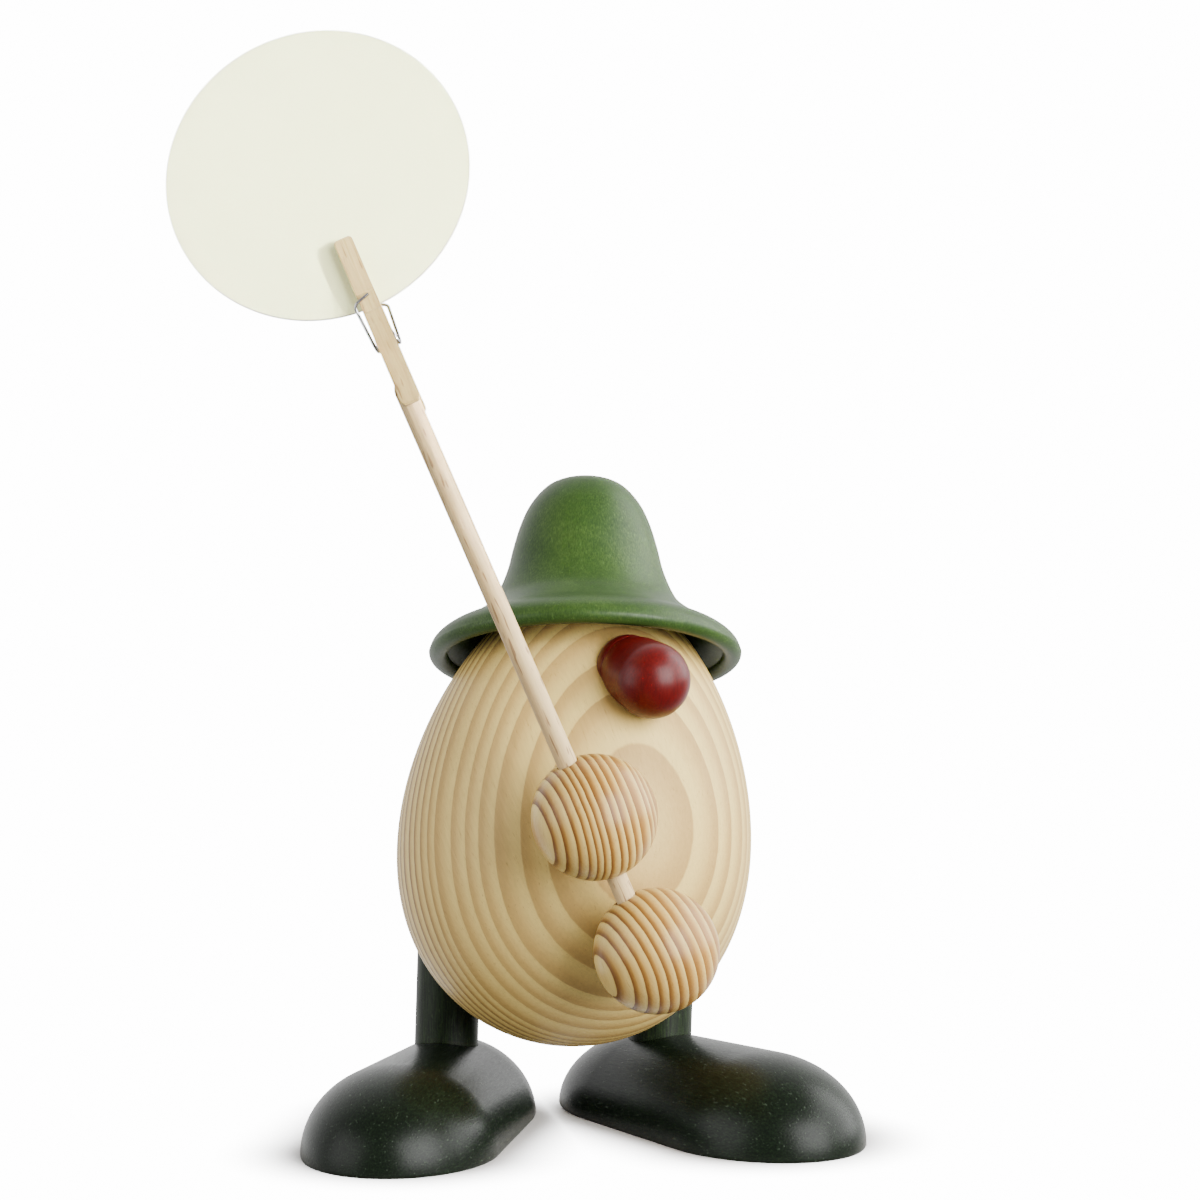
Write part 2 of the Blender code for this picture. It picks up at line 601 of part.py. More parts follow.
# Measures of the spring and the joints
samples = []
for first, second in zip(wire_points, wire_points[1:]):
    parts = max(int((second - first).length / 0.0001), 1)
    samples += [first.lerp(second, k / parts) for k in range(parts)]
samples = np.array([tuple(spot) for spot in samples])
run = np.concatenate(([0.0], np.cumsum(np.linalg.norm(np.diff(samples, axis=0), axis=1))))
apart = np.linalg.norm(samples[:, None, :] - samples[None, :, :], axis=2)
far = np.abs(run[:, None] - run[None, :]) > COIL_RADIUS * 3.0
print("least gap of the spring to itself in mm", round((apart[far].min() - 2.0 * WIRE_RADIUS) * 1000.0, 3))


def told(label, frame, way):
    """Print a joint's world place and direction."""
    spot = frame.matrix_world.translation
    line = (frame.matrix_world.to_3x3() @ Vector(way)).normalized()
    print(label, [round(v, 5) for v in spot], [round(v, 5) for v in line])


told("stick_turn", STICK_EMPTY, (0.0, 0.0, 1.0))
told("peg_press", PEG_EMPTY, (1.0, 0.0, 0.0))
told("card_slide", card, (0.0, 0.0, 1.0))
told("card_face", card, (0.0, -1.0, 0.0))
told("left_sole", bpy.data.objects["left_shoe_frame"], (0.0, 0.0, -1.0))
told("right_sole", bpy.data.objects["right_shoe_frame"], (0.0, 0.0, -1.0))
print("press range in degrees", round(math.degrees(PRESS_ANGLE), 2), "card travel in metres", CARD_TRAVEL)
print("size", [round(v, 5) for v in corners_high - corners_low])
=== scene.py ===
"""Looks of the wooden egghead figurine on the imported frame: softwood, stains, varnish, wire and board."""
from __future__ import annotations

import logging
import math
from dataclasses import dataclass, field
from enum import Enum
from typing import Any, Iterable, Sequence

import bmesh
import bpy
import numpy as np
from mathutils import Matrix, Vector


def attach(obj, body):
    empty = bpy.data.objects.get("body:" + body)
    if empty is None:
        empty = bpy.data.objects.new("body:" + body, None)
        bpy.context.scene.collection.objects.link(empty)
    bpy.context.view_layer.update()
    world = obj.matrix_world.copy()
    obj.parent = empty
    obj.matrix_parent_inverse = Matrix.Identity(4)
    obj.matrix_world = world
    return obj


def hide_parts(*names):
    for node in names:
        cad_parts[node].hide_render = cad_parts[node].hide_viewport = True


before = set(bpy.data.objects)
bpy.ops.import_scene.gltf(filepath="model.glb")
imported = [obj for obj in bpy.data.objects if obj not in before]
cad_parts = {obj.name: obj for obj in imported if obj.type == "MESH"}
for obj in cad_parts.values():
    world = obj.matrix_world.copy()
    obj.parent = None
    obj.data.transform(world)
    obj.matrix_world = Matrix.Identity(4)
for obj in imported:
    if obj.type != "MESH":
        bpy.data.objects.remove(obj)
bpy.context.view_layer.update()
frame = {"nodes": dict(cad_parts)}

LOG = logging.getLogger("egghead")
COLOUR = tuple[float, float, float]
TRIPLE = tuple[float, float, float]
OUTLINE = list[tuple[float, float]]
PIECE = bpy.types.Object
MESH = bpy.types.Mesh
TREE = bpy.types.NodeTree
MATERIAL = bpy.types.Material
UP = Vector((0.0, 0.0, 1.0))
QUARTER_TURN = math.pi / 2.0

# How much lower the power on a ring's phase gets towards the heart; a lower power widens the late wood
HEART_WIDENING = 0.55

# From the figurine's own layout, in which the solids are drawn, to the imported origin
LAYOUT_SHIFT = Vector((0.0151278, 0.0121403, 0.0))
GAP = 0.0003
SNUG = 0.0001
MERGE_REACH = 0.000002
BORE_EASE = 0.0001


class Blend(Enum):
    """How one colour is laid on another."""

    MIX = "MIX"
    MULTIPLY = "MULTIPLY"


# Shader bench

class Signal:
    """An output socket of a material; arithmetic on signals adds Math nodes."""

    def __init__(self, bench: "Bench", socket: bpy.types.NodeSocket) -> None:
        """Args:
            bench: the material's bench that the socket belongs to.
            socket: the output socket.
        """
        self.bench = bench
        self.socket = socket

    def __add__(self, other: "Signal | float") -> "Signal":
        """Sum with another signal or number."""
        return self.bench.maths("ADD", self, other)

    def __sub__(self, other: "Signal | float") -> "Signal":
        """This less another signal or number."""
        return self.bench.maths("SUBTRACT", self, other)

    def __rsub__(self, other: float) -> "Signal":
        """A number less this."""
        return self.bench.maths("SUBTRACT", other, self)

    def __mul__(self, other: "Signal | float") -> "Signal":
        """Product with another signal or number."""
        return self.bench.maths("MULTIPLY", self, other)

    def __truediv__(self, other: "Signal | float") -> "Signal":
        """This over another signal or number."""
        return self.bench.maths("DIVIDE", self, other)

    def __pow__(self, other: "Signal | float") -> "Signal":
        """This raised to a power."""
        return self.bench.maths("POWER", self, other)

    def part(self) -> "Signal":
        """The part of this behind the decimal point."""
        return self.bench.maths("FRACT", self, 0.0)


class Bench:
    """Where one material is put together from nodes."""

    def __init__(self, name: str) -> None:
        """Args:
            name: the material's name.
        """
        self.material = bpy.data.materials.new(name)
        self.material.use_nodes = True
        self.tree = self.material.node_tree
        self.shader = self.tree.nodes["Principled BSDF"]

    def node(self, kind: str, settings: dict[str, Any], values: dict[Any, Any],
             output: int | str = 0) -> Signal:
        """Add any node.

        Args:
            kind: the node's type.
            settings: its properties, set first; "stops" gives a ramp's stops as (place, colour).
            values: numbers, colours or signals for its sockets, by name or place.
            output: which output to hand back.

        Returns:
            The chosen output as a signal.
        """
        made = self.tree.nodes.new(kind)
        for key, value in settings.items():
            if key != "stops":
                setattr(made, key, value)
                continue
            ramp = made.color_ramp
            while len(ramp.elements) < len(value):
                ramp.elements.new(1.0)
            for element, (place, colour) in zip(ramp.elements, value):
                element.position = place
                element.color = (*colour, 1.0)
        for key, value in values.items():
            self.join(made.inputs[key], value)
        return Signal(self, made.outputs[output])

    def join(self, socket: bpy.types.NodeSocket, value: Any) -> None:
        """Give a socket a number or colour, or link a signal to it."""
        if isinstance(value, Signal):
            self.tree.links.new(value.socket, socket)
        elif socket.type == "RGBA" and len(value) == 3:
            socket.default_value = (*value, 1.0)
        else:
            socket.default_value = value

    def maths(self, operation: str, first: Any, second: Any) -> Signal:
        """Math node on one or two values."""
        return self.node("ShaderNodeMath", {"operation": operation}, {0: first, 1: second})

    def vector(self, operation: str, first: Any, second: Any, output: int | str = 0) -> Signal:
        """Vector Math node on two vectors."""
        return self.node("ShaderNodeVectorMath", {"operation": operation}, {0: first, 1: second}, output)

    def place(self) -> Signal:
        """Object coordinates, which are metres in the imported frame."""
        return self.node("ShaderNodeTexCoord", {}, {}, "Object")

    def along(self, spot: Signal, way: Sequence[float]) -> Signal:
        """Length of a place vector along a direction."""
        return self.vector("DOT_PRODUCT", spot, tuple(Vector(way).normalized()), "Value")

    def length(self, first: Signal) -> Signal:
        """Length of a vector."""
        return self.vector("LENGTH", first, (0.0, 0.0, 0.0), "Value")

    def off_line(self, local: Signal, way: Sequence[float]) -> Signal:
        """Distance of a place vector from the line along a direction through its origin."""
        return self.length(self.vector("CROSS_PRODUCT", local, tuple(Vector(way).normalized())))

    def joined(self, x: Any, y: Any, z: Any) -> Signal:
        """Vector from three numbers."""
        return self.node("ShaderNodeCombineXYZ", {}, {0: x, 1: y, 2: z})

    def noise(self, spot: Signal, scale: float, detail: float = 3.0, rough: float = 0.5) -> Signal:
        """Noise from 0 to 1 at a place."""
        return self.node("ShaderNodeTexNoise", {}, {"Vector": spot, "Scale": scale, "Detail": detail,
                                                    "Roughness": rough})

    def ramp(self, value: Signal, stops: Sequence[tuple[float, COLOUR]]) -> Signal:
        """Colour that follows a value through given stops."""
        return self.node("ShaderNodeValToRGB", {"stops": stops}, {0: value})

    def fade(self, value: Signal, stops: Sequence[tuple[float, float]]) -> Signal:
        """Number that follows a value through given stops."""
        return self.ramp(value, [(place, (tone,) * 3) for place, tone in stops])

    def level(self, value: Signal, low: float, high: float, start: float = 0.0, end: float = 1.0) -> Signal:
        """Value carried from low and high to start and end, and held between them."""
        return self.node("ShaderNodeMapRange", {}, {"Value": value, "From Min": low, "From Max": high,
                                                    "To Min": start, "To Max": end})

    def mix(self, share: Any, first: Any, second: Any, blend: Blend = Blend.MIX) -> Signal:
        """Mix of two colours."""
        made = self.tree.nodes.new("ShaderNodeMix")
        made.data_type = "RGBA"
        made.blend_type = blend.value
        colours = [socket for socket in made.inputs if socket.type == "RGBA"]
        self.join(made.inputs[0], share)
        self.join(colours[0], first)
        self.join(colours[1], second)
        return Signal(self, next(socket for socket in made.outputs if socket.type == "RGBA"))

    def grain_space(self, spot: Signal, way: Sequence[float], stretch: float) -> Signal:
        """Place vector squeezed along the grain, so that noise on it runs in fibres.

        Args:
            spot: the place vector.
            way: the grain's direction.
            stretch: how many times longer than wide a fibre is.

        Returns:
            The squeezed place vector.
        """
        along = Vector(way).normalized()
        side = along.orthogonal().normalized()
        other = along.cross(side)
        return self.joined(self.along(spot, side), self.along(spot, other), self.along(spot, along) / stretch)

    def bump(self, height: Signal, depth: float, under: Signal | None = None) -> Signal:
        """Normal from a height.

        Args:
            height: the height from 0 to 1.
            depth: what a height of 1 stands for, in metres.
            under: a normal from another bump.

        Returns:
            The normal.
        """
        values = {"Height": height, "Distance": depth, "Strength": 1.0}
        if under is not None:
            values["Normal"] = under
        return self.node("ShaderNodeBump", {}, values)

    def finish(self, **values: Any) -> MATERIAL:
        """Join values to the surface shader, by socket name with _ for a space, and give the material."""
        for key, value in values.items():
            self.join(self.shader.inputs[key.replace("_", " ")], value)
        return self.material


# Finishes

@dataclass(frozen=True)
class Grain:
    """Noise that runs along the fibres, which are stretch times longer than wide."""

    stretch: float
    scale: float
    detail: float = 2.0
    rough: float = 0.6

    def on(self, bench: Bench, spot: Signal, way: Sequence[float]) -> Signal:
        """The noise at a place, for fibres along a direction."""
        return bench.noise(bench.grain_space(spot, way, self.stretch), self.scale, self.detail, self.rough)


@dataclass(frozen=True)
class RingWood:
    """Clear softwood with growth rings about a pith line.

    The ring edges are distances from the pith, in metres, from the innermost out. Tender gives the years
    between which the late wood comes to its full strength, and its strength before them. Heart is a point and a
    direction, with the distances along it between which the late wood widens, as it does towards heartwood.
    The piths, taper, bend and ring edges are based on a least-squares fit to rings picked one by one.
    """

    name: str
    pith: TRIPLE
    way: TRIPLE
    edges: tuple[float, ...]
    early: COLOUR
    middle: COLOUR
    late: COLOUR
    taper: float = 0.0
    bend: float = 0.0
    wobble: float = 0.0006
    wobble_scale: float = 22.0
    late_share: float = 0.75
    gloss: float = 0.42
    ridge: float = 0.00004
    shine: float = 0.16
    tender: TRIPLE = (0.0, 1.0, 1.0)
    heart: tuple[Vector, Vector, float, float] | None = None

    # Fibres that waver the rings, that speckle the colour and that show as pores
    WAVER = Grain(6.0, 420.0)
    WAVER_DEPTH = 0.00025
    FIBRE = Grain(26.0, 1500.0)
    FIBRE_DEPTH = 0.000012
    PORE = Grain(9.0, 2600.0, 1.0, 0.5)

    # Ranges for a level: low, high, start and end
    CLOUD_TINT = (0.35, 0.75, 0.0, 0.30)
    SPECKLE = (0.30, 0.72, 1.05, 0.93)
    PORE_TINT = (0.66, 0.78, 0.0, 0.35)

    # Height of a ring through its year
    RIDGE_SHAPE = ((0.0, 1.0), (0.06, 0.15), (0.45, 0.0), (0.95, 1.0))

    def years(self, bench: Bench, spot: Signal) -> tuple[Signal, Signal]:
        """Work out when a place grew.

        Args:
            bench: the material's bench.
            spot: the place.

        Returns:
            The year as a running number, and how far through that year from 0 to 1.
        """
        local = bench.vector("SUBTRACT", spot, self.pith)
        along = bench.along(local, self.way)
        wave = bench.noise(spot, self.wobble_scale, 2.0, 0.45) - 0.5
        fine = self.WAVER.on(bench, spot, self.way) - 0.5
        reach = bench.off_line(local, self.way) + along * self.taper + along * along * self.bend
        reach = reach + wave * (2.0 * self.wobble) + fine * self.WAVER_DEPTH
        low, high = self.edges[0], self.edges[-1]
        count = len(self.edges) - 1
        stops = [((edge - low) / (high - low), i / count) for i, edge in enumerate(self.edges)]
        year = bench.fade(bench.level(reach, low, high), stops) * float(count)
        phase = year.part()
        if self.heart is not None:
            start, way, near, far = self.heart
            depth = bench.level(bench.along(bench.vector("SUBTRACT", spot, tuple(start)), way), near, far)
            phase = phase ** (1.0 - depth * HEART_WIDENING)
        return year, phase

    def make(self) -> MATERIAL:
        """Build the material."""
        bench = Bench(self.name)
        spot = bench.place()
        year, phase = self.years(bench, spot)
        soft = self.late_share
        tan = bench.fade(phase, [(0.0, 1.0), (0.045, 0.0), (max(soft - 0.45, 0.10), 0.0), (soft, 0.9),
                                 (1.0, 1.0)])
        dark = bench.fade(phase, [(0.0, 1.0), (0.04, 0.0), (soft - 0.06, 0.0), (soft + 0.14, 0.75),
                                  (0.97, 1.0)])
        first, last, weak = self.tender
        body = bench.mix(tan, self.early, self.middle)
        body = bench.mix(dark * bench.level(year, first, last, weak, 1.0), body, self.late)
        cloud = bench.noise(spot, 38.0, 3.0, 0.55)
        body = bench.mix(bench.level(cloud, *self.CLOUD_TINT), body, self.middle)
        fibre = self.FIBRE.on(bench, spot, self.way)
        speck = bench.level(fibre, *self.SPECKLE)
        body = bench.mix(1.0, body, bench.joined(speck, speck, speck * 0.99), Blend.MULTIPLY)
        pore = self.PORE.on(bench, spot, self.way)
        body = bench.mix(bench.level(pore, *self.PORE_TINT), body, self.late)
        ridges = bench.bump(bench.fade(phase, self.RIDGE_SHAPE), self.ridge)
        normal = bench.bump(fibre, self.FIBRE_DEPTH, ridges)
        rough = bench.level(fibre, 0.2, 0.8, self.gloss - 0.05, self.gloss + 0.09)
        return bench.finish(Base_Color=body, Roughness=rough, Normal=normal, Specular_IOR_Level=self.shine)


@dataclass(frozen=True)
class StainedWood:
    """Wood under a coloured stain that lets the fibres and pores show through.

    Patchy is how far the gloss strays, and cloudy is the share of broad clouds beside fine streaks.
    """

    name: str
    way: TRIPLE
    deep: COLOUR
    body: COLOUR
    light: COLOUR
    gloss: float
    speck: float = 0.5
    streak_scale: float = 900.0
    stretch: float = 14.0
    shine: float = 0.5
    relief: float = 0.00003
    patchy: float = 0.04
    cloudy: float = 0.35

    FLECK = Grain(3.0, 1500.0, 1.0, 0.5)
    FLECK_LEVEL = (0.67, 0.75)
    FLECK_GAIN = 2.0
    FLECK_LIFT = 0.012
    CONTRAST = (0.34, 0.66)

    def make(self) -> MATERIAL:
        """Build the material."""
        bench = Bench(self.name)
        spot = bench.place()
        streak = Grain(self.stretch, self.streak_scale, 4.0, 0.62).on(bench, spot, self.way)
        cloud = bench.noise(spot, 55.0, 4.0, 0.6)
        share = bench.level(streak * (1.0 - self.cloudy) + cloud * self.cloudy, *self.CONTRAST)
        body = bench.ramp(share, [(0.0, self.deep), (0.5, self.body), (1.0, self.light)])
        spots = bench.level(self.FLECK.on(bench, spot, self.way), *self.FLECK_LEVEL, 0.0, self.speck)
        pale = tuple(min(1.0, tone * self.FLECK_GAIN + self.FLECK_LIFT) for tone in self.light)
        body = bench.mix(spots, body, pale)
        normal = bench.bump(spots, self.relief * 0.7, bench.bump(streak, self.relief))
        rough = bench.level(streak, 0.25, 0.75, self.gloss + self.patchy, self.gloss - self.patchy)
        return bench.finish(Base_Color=body, Roughness=rough, Normal=normal, Specular_IOR_Level=self.shine)


@dataclass(frozen=True)
class BeechWood:
    """Bare beech with short dark rays along its fibres."""

    name: str
    way: TRIPLE
    pale: COLOUR
    warm: COLOUR
    fleck: COLOUR
    gloss: float = 0.55

    FIBRE = Grain(30.0, 2400.0, 3.0)
    FIBRE_DEPTH = 0.00003
    BAND = Grain(40.0, 520.0, 2.0, 0.5)
    RAY = Grain(7.0, 1500.0, 0.0, 0.5)
    RAY_TINT = (0.67, 0.76, 0.0, 0.70)

    def make(self) -> MATERIAL:
        """Build the material."""
        bench = Bench(self.name)
        spot = bench.place()
        fibre, band, ray = (grain.on(bench, spot, self.way) for grain in (self.FIBRE, self.BAND, self.RAY))
        share = bench.level(band * 0.5 + fibre * 0.5, 0.40, 0.60)
        body = bench.ramp(share, [(0.0, self.warm), (1.0, self.pale)])
        body = bench.mix(bench.level(ray, *self.RAY_TINT), body, self.fleck)
        normal = bench.bump(fibre, self.FIBRE_DEPTH)
        rough = bench.level(fibre, 0.3, 0.7, self.gloss + 0.06, self.gloss - 0.06)
        return bench.finish(Base_Color=body, Roughness=rough, Normal=normal, Specular_IOR_Level=0.25)


@dataclass(frozen=True)
class BrightWire:
    """Drawn and plated spring wire."""

    name: str
    dark: COLOUR = (0.30, 0.30, 0.31)
    bright: COLOUR = (0.46, 0.46, 0.46)
    relief: float = 0.000008

    def make(self) -> MATERIAL:
        """Build the material."""
        bench = Bench(self.name)
        dull = bench.noise(bench.place(), 900.0, 3.0, 0.6)
        body = bench.ramp(bench.level(dull, 0.3, 0.7), [(0.0, self.dark), (1.0, self.bright)])
        rough = bench.level(dull, 0.3, 0.8, 0.10, 0.26)
        normal = bench.bump(dull, self.relief)
        return bench.finish(Base_Color=body, Roughness=rough, Metallic=1.0, Normal=normal)


@dataclass(frozen=True)
class CreamBoard:
    """Stiff cream board: a smooth face, and a greyer band round the rim that paints the shade of its edge."""

    name: str
    middle: TRIPLE
    normal: TRIPLE
    radius: float
    dark: COLOUR = (0.89, 0.91, 0.47)
    light: COLOUR = (0.92, 0.94, 0.50)
    # Grey of the rim band: painted shade of the card's edge
    cut: COLOUR = (0.42, 0.40, 0.33)
    rim: tuple[float, float] = (0.0003, 0.00005)
    relief: float = 0.000015

    def make(self) -> MATERIAL:
        """Build the material."""
        bench = Bench(self.name)
        spot = bench.place()
        reach = bench.off_line(bench.vector("SUBTRACT", spot, self.middle), self.normal)
        edge = bench.level(reach, self.radius - self.rim[0], self.radius - self.rim[1])
        felt = bench.noise(spot, 1800.0, 4.0, 0.65)
        cloud = bench.noise(spot, 40.0, 3.0, 0.5)
        share = bench.level(felt * 0.5 + cloud * 0.5, 0.3, 0.7)
        # Painted shade: the rim band is mixed towards the cut grey all round the edge
        body = bench.mix(edge * 0.6, bench.ramp(share, [(0.0, self.dark), (1.0, self.light)]), self.cut)
        rough = bench.level(felt, 0.3, 0.7, 0.62, 0.72)
        return bench.finish(Base_Color=body, Roughness=rough, Normal=bench.bump(felt, self.relief))


@dataclass(frozen=True)
class ShoeShadeFloor:
    """Grey floor kept only round the shoes: a painted shade patch round them, beside their real cast shadows.

    Each shoe is a line on the floor: its heel, its direction and its length.
    """

    name: str
    colour: COLOUR
    shoes: tuple[tuple[Vector, Vector, float], ...]
    fade: tuple[float, float]

    def make(self) -> MATERIAL:
        """Build the material."""
        bench = Bench(self.name)
        reaches = []
        for heel, way, length in self.shoes:
            local = bench.vector("SUBTRACT", bench.place(), tuple(heel))
            along = bench.level(bench.along(local, way), 0.0, length, 0.0, length)
            line = bench.joined(along * way.x, along * way.y, 0.0)
            reaches.append(bench.length(bench.vector("SUBTRACT", local, line)))
        # Painted shade: the grey floor stays opaque only near the shoes and fades out beyond, a darker patch
        # round them
        near = bench.level(bench.maths("MINIMUM", *reaches), *self.fade, 1.0, 0.0)
        eased = near * near * (3.0 - near * 2.0)
        return bench.finish(Base_Color=self.colour, Roughness=0.9, Specular_IOR_Level=0.1, Alpha=eased)


# Shaping

def upright(place: Sequence[float], up: Sequence[float]) -> Matrix:
    """Frame at a place with its Z along up and its Y as near to the world's Y as can be."""
    z_way = Vector(up).normalized()
    y_way = (Vector((0.0, 1.0, 0.0)) - z_way * z_way.y).normalized()
    turn = Matrix((y_way.cross(z_way), y_way, z_way)).transposed()
    return Matrix.Translation(Vector(place)) @ turn.to_4x4()


def smooth_line(points: Sequence[tuple[float, float]], parts: int) -> OUTLINE:
    """Curve through flat points.

    Args:
        points: the points to pass.
        parts: how many steps lie between each two.

    Returns:
        The curve's points.
    """
    line = []
    for i in range(len(points) - 1):
        places = (max(i - 1, 0), i, i + 1, min(i + 2, len(points) - 1))
        before, start, end, after = (Vector(points[k]) for k in places)
        for k in range(parts):
            t = k / parts
            spot = (start * (2 * t ** 3 - 3 * t ** 2 + 1) + (end - before) * 0.5 * (t ** 3 - 2 * t ** 2 + t)
                    + end * (3 * t ** 2 - 2 * t ** 3) + (after - start) * 0.5 * (t ** 3 - t ** 2))
            line.append((spot.x, spot.y))
    return line + [tuple(points[-1])]


def bench_tree(name: str, inputs: Sequence[tuple[str, str]]) -> tuple[TREE, Any, Any]:
    """Empty geometry tree with a geometry input and output and the named inputs."""
    tree = bpy.data.node_groups.new(name, "GeometryNodeTree")
    tree.interface.new_socket("Geometry", in_out="INPUT", socket_type="NodeSocketGeometry")
    for label, kind in inputs:
        tree.interface.new_socket(label, in_out="INPUT", socket_type=kind)
    tree.interface.new_socket("Geometry", in_out="OUTPUT", socket_type="NodeSocketGeometry")
    return tree, tree.nodes.new("NodeGroupInput"), tree.nodes.new("NodeGroupOutput")


def step(tree: TREE, kind: str, settings: dict[str, Any], values: dict[Any, Any]) -> Any:
    """Add a geometry node.

    Args:
        tree: the tree to add to.
        kind: the node's type.
        settings: its properties.
        values: numbers or output sockets for its inputs.

    Returns:
        The node.
    """
    node = tree.nodes.new(kind)
    for key, value in settings.items():
        setattr(node, key, value)
    for key, value in values.items():
        if isinstance(value, bpy.types.NodeSocket):
            tree.links.new(value, node.inputs[key])
        else:
            node.inputs[key].default_value = value
    return node


def reckon(tree: TREE, operation: str, first: Any, second: Any = 0.0) -> bpy.types.NodeSocket:
    """Result of a Math node on one or two values."""
    return step(tree, "ShaderNodeMath", {"operation": operation}, {0: first, 1: second}).outputs[0]


def end_tree(tree: TREE, shape: Any, finish: Any, output: Any) -> None:
    """End a tree with smooth shading, real geometry and the finish."""
    smooth = step(tree, "GeometryNodeSetShadeSmooth", {}, {"Geometry": shape})
    real = step(tree, "GeometryNodeRealizeInstances", {}, {"Geometry": smooth.outputs[0]})
    dressed = step(tree, "GeometryNodeSetMaterial", {}, {"Geometry": real.outputs[0], "Material": finish})
    tree.links.new(dressed.outputs[0], output.inputs[0])


def lathe_tree() -> TREE:
    """Tree that turns an outline, a row of points in the XZ plane, round Z."""
    tree, given, output = bench_tree("lathe", (("Steps Around", "NodeSocketInt"),
                                               ("Finish", "NodeSocketMaterial")))
    outline = given.outputs["Geometry"]
    count = step(tree, "GeometryNodeAttributeDomainSize", {"component": "MESH"}, {0: outline}).outputs[0]
    around = reckon(tree, "ADD", given.outputs["Steps Around"], 1.0)
    sheet = step(tree, "GeometryNodeMeshGrid", {}, {"Size X": 1.0, "Size Y": 1.0, "Vertices X": around,
                                                    "Vertices Y": count})
    here = step(tree, "GeometryNodeInputPosition", {}, {})
    flat = step(tree, "ShaderNodeSeparateXYZ", {}, {0: here.outputs[0]})
    up_share = reckon(tree, "ADD", flat.outputs[1], 0.5)
    row = reckon(tree, "MULTIPLY", up_share, reckon(tree, "SUBTRACT", count, 1.0))
    spot = step(tree, "GeometryNodeSampleIndex", {"data_type": "FLOAT_VECTOR", "domain": "POINT"},
                {"Geometry": outline, "Value": here.outputs[0], "Index": reckon(tree, "ROUND", row)})
    angle = reckon(tree, "MULTIPLY", reckon(tree, "ADD", flat.outputs[0], 0.5), 2.0 * math.pi)
    turned = step(tree, "ShaderNodeVectorRotate", {"rotation_type": "Z_AXIS"},
                  {"Vector": spot.outputs[0], "Angle": angle})
    shape = step(tree, "GeometryNodeSetPosition", {},
                 {"Geometry": sheet.outputs[0], "Position": turned.outputs[0]})
    closed = step(tree, "GeometryNodeMergeByDistance", {},
                  {"Geometry": shape.outputs[0], "Distance": MERGE_REACH})
    end_tree(tree, closed.outputs[0], given.outputs["Finish"], output)
    return tree


def wire_tree() -> TREE:
    """Tree that draws a round wire along a row of points."""
    inputs = (("Wire Radius", "NodeSocketFloat"), ("Sides", "NodeSocketInt"), ("Finish", "NodeSocketMaterial"))
    tree, given, output = bench_tree("drawn_wire", inputs)
    path = step(tree, "GeometryNodeMeshToCurve", {}, {0: given.outputs["Geometry"]})
    ring = step(tree, "GeometryNodeCurvePrimitiveCircle", {}, {"Resolution": given.outputs["Sides"],
                                                              "Radius": given.outputs["Wire Radius"]})
    shape = step(tree, "GeometryNodeCurveToMesh", {},
                 {"Curve": path.outputs[0], "Profile Curve": ring.outputs[0], "Fill Caps": True})
    end_tree(tree, shape.outputs[0], given.outputs["Finish"], output)
    return tree


LATHE = lathe_tree()
WIRE = wire_tree()


def row_mesh(name: str, points: Iterable[Sequence[float]]) -> MESH:
    """Mesh of points joined in a row."""
    spots = [tuple(point) for point in points]
    mesh = bpy.data.meshes.new(name)
    mesh.from_pydata(spots, [(i, i + 1) for i in range(len(spots) - 1)], [])
    return mesh


def outward(mesh: MESH) -> MESH:
    """The mesh with its faces set outward."""
    shape = bmesh.new()
    shape.from_mesh(mesh)
    bmesh.ops.recalc_face_normals(shape, faces=shape.faces)
    shape.to_mesh(mesh)
    shape.free()
    return mesh


def baked(name: str, shape: bmesh.types.BMesh) -> MESH:
    """Mesh made of a shape under edit, which is given up."""
    mesh = bpy.data.meshes.new(name)
    shape.to_mesh(mesh)
    shape.free()
    return mesh


def skinned(shape: bmesh.types.BMesh, rings: Sequence[Sequence[bmesh.types.BMVert]]) -> None:
    """Join closed rings of corners, one after the other, with four-sided faces."""
    for low, high in zip(rings, rings[1:]):
        for i in range(len(low)):
            j = (i + 1) % len(low)
            shape.faces.new((low[i], low[j], high[j], high[i]))


def link(name: str, data: bpy.types.ID) -> PIECE:
    """Object for a mesh, light or camera, in the scene."""
    piece = bpy.data.objects.new(name, data)
    bpy.context.scene.collection.objects.link(piece)
    return piece


def settled(piece: PIECE) -> PIECE:
    """The piece with its modifiers worked into a plain mesh."""
    bpy.context.view_layer.update()
    graph = bpy.context.evaluated_depsgraph_get()
    mesh = bpy.data.meshes.new_from_object(piece.evaluated_get(graph), preserve_all_data_layers=True,
                                           depsgraph=graph)
    piece.modifiers.clear()
    piece.data = mesh
    return piece


def grown(name: str, tree: TREE, row: MESH, place: Matrix,
          **inputs: Any) -> PIECE:
    """Piece that a geometry tree makes from a row of points.

    Args:
        name: the piece's name.
        tree: the geometry tree.
        row: the row of points.
        place: where the made mesh goes.
        inputs: the tree's named inputs, with _ for a space.

    Returns:
        The piece, a plain mesh at its place.
    """
    piece = link(name, row)
    modifier = piece.modifiers.new("shape", "NODES")
    modifier.node_group = tree
    for item in tree.interface.items_tree:
        key = item.name.replace(" ", "_")
        if item.item_type == "SOCKET" and item.in_out == "INPUT" and key in inputs:
            modifier[item.identifier] = inputs[key]
    settled(piece)
    piece.data.transform(place)
    outward(piece.data)
    piece.data.name = name
    return piece


def turned(name: str, outline: Sequence[tuple[float, float]], place: Matrix, finish: MATERIAL | None,
           steps: int = 160) -> PIECE:
    """Piece turned from an outline of (radius, height) that runs from pole to pole."""
    row = row_mesh(name, [(radius, 0.0, height) for radius, height in outline])
    return grown(name, LATHE, row, place, Steps_Around=steps, Finish=finish)


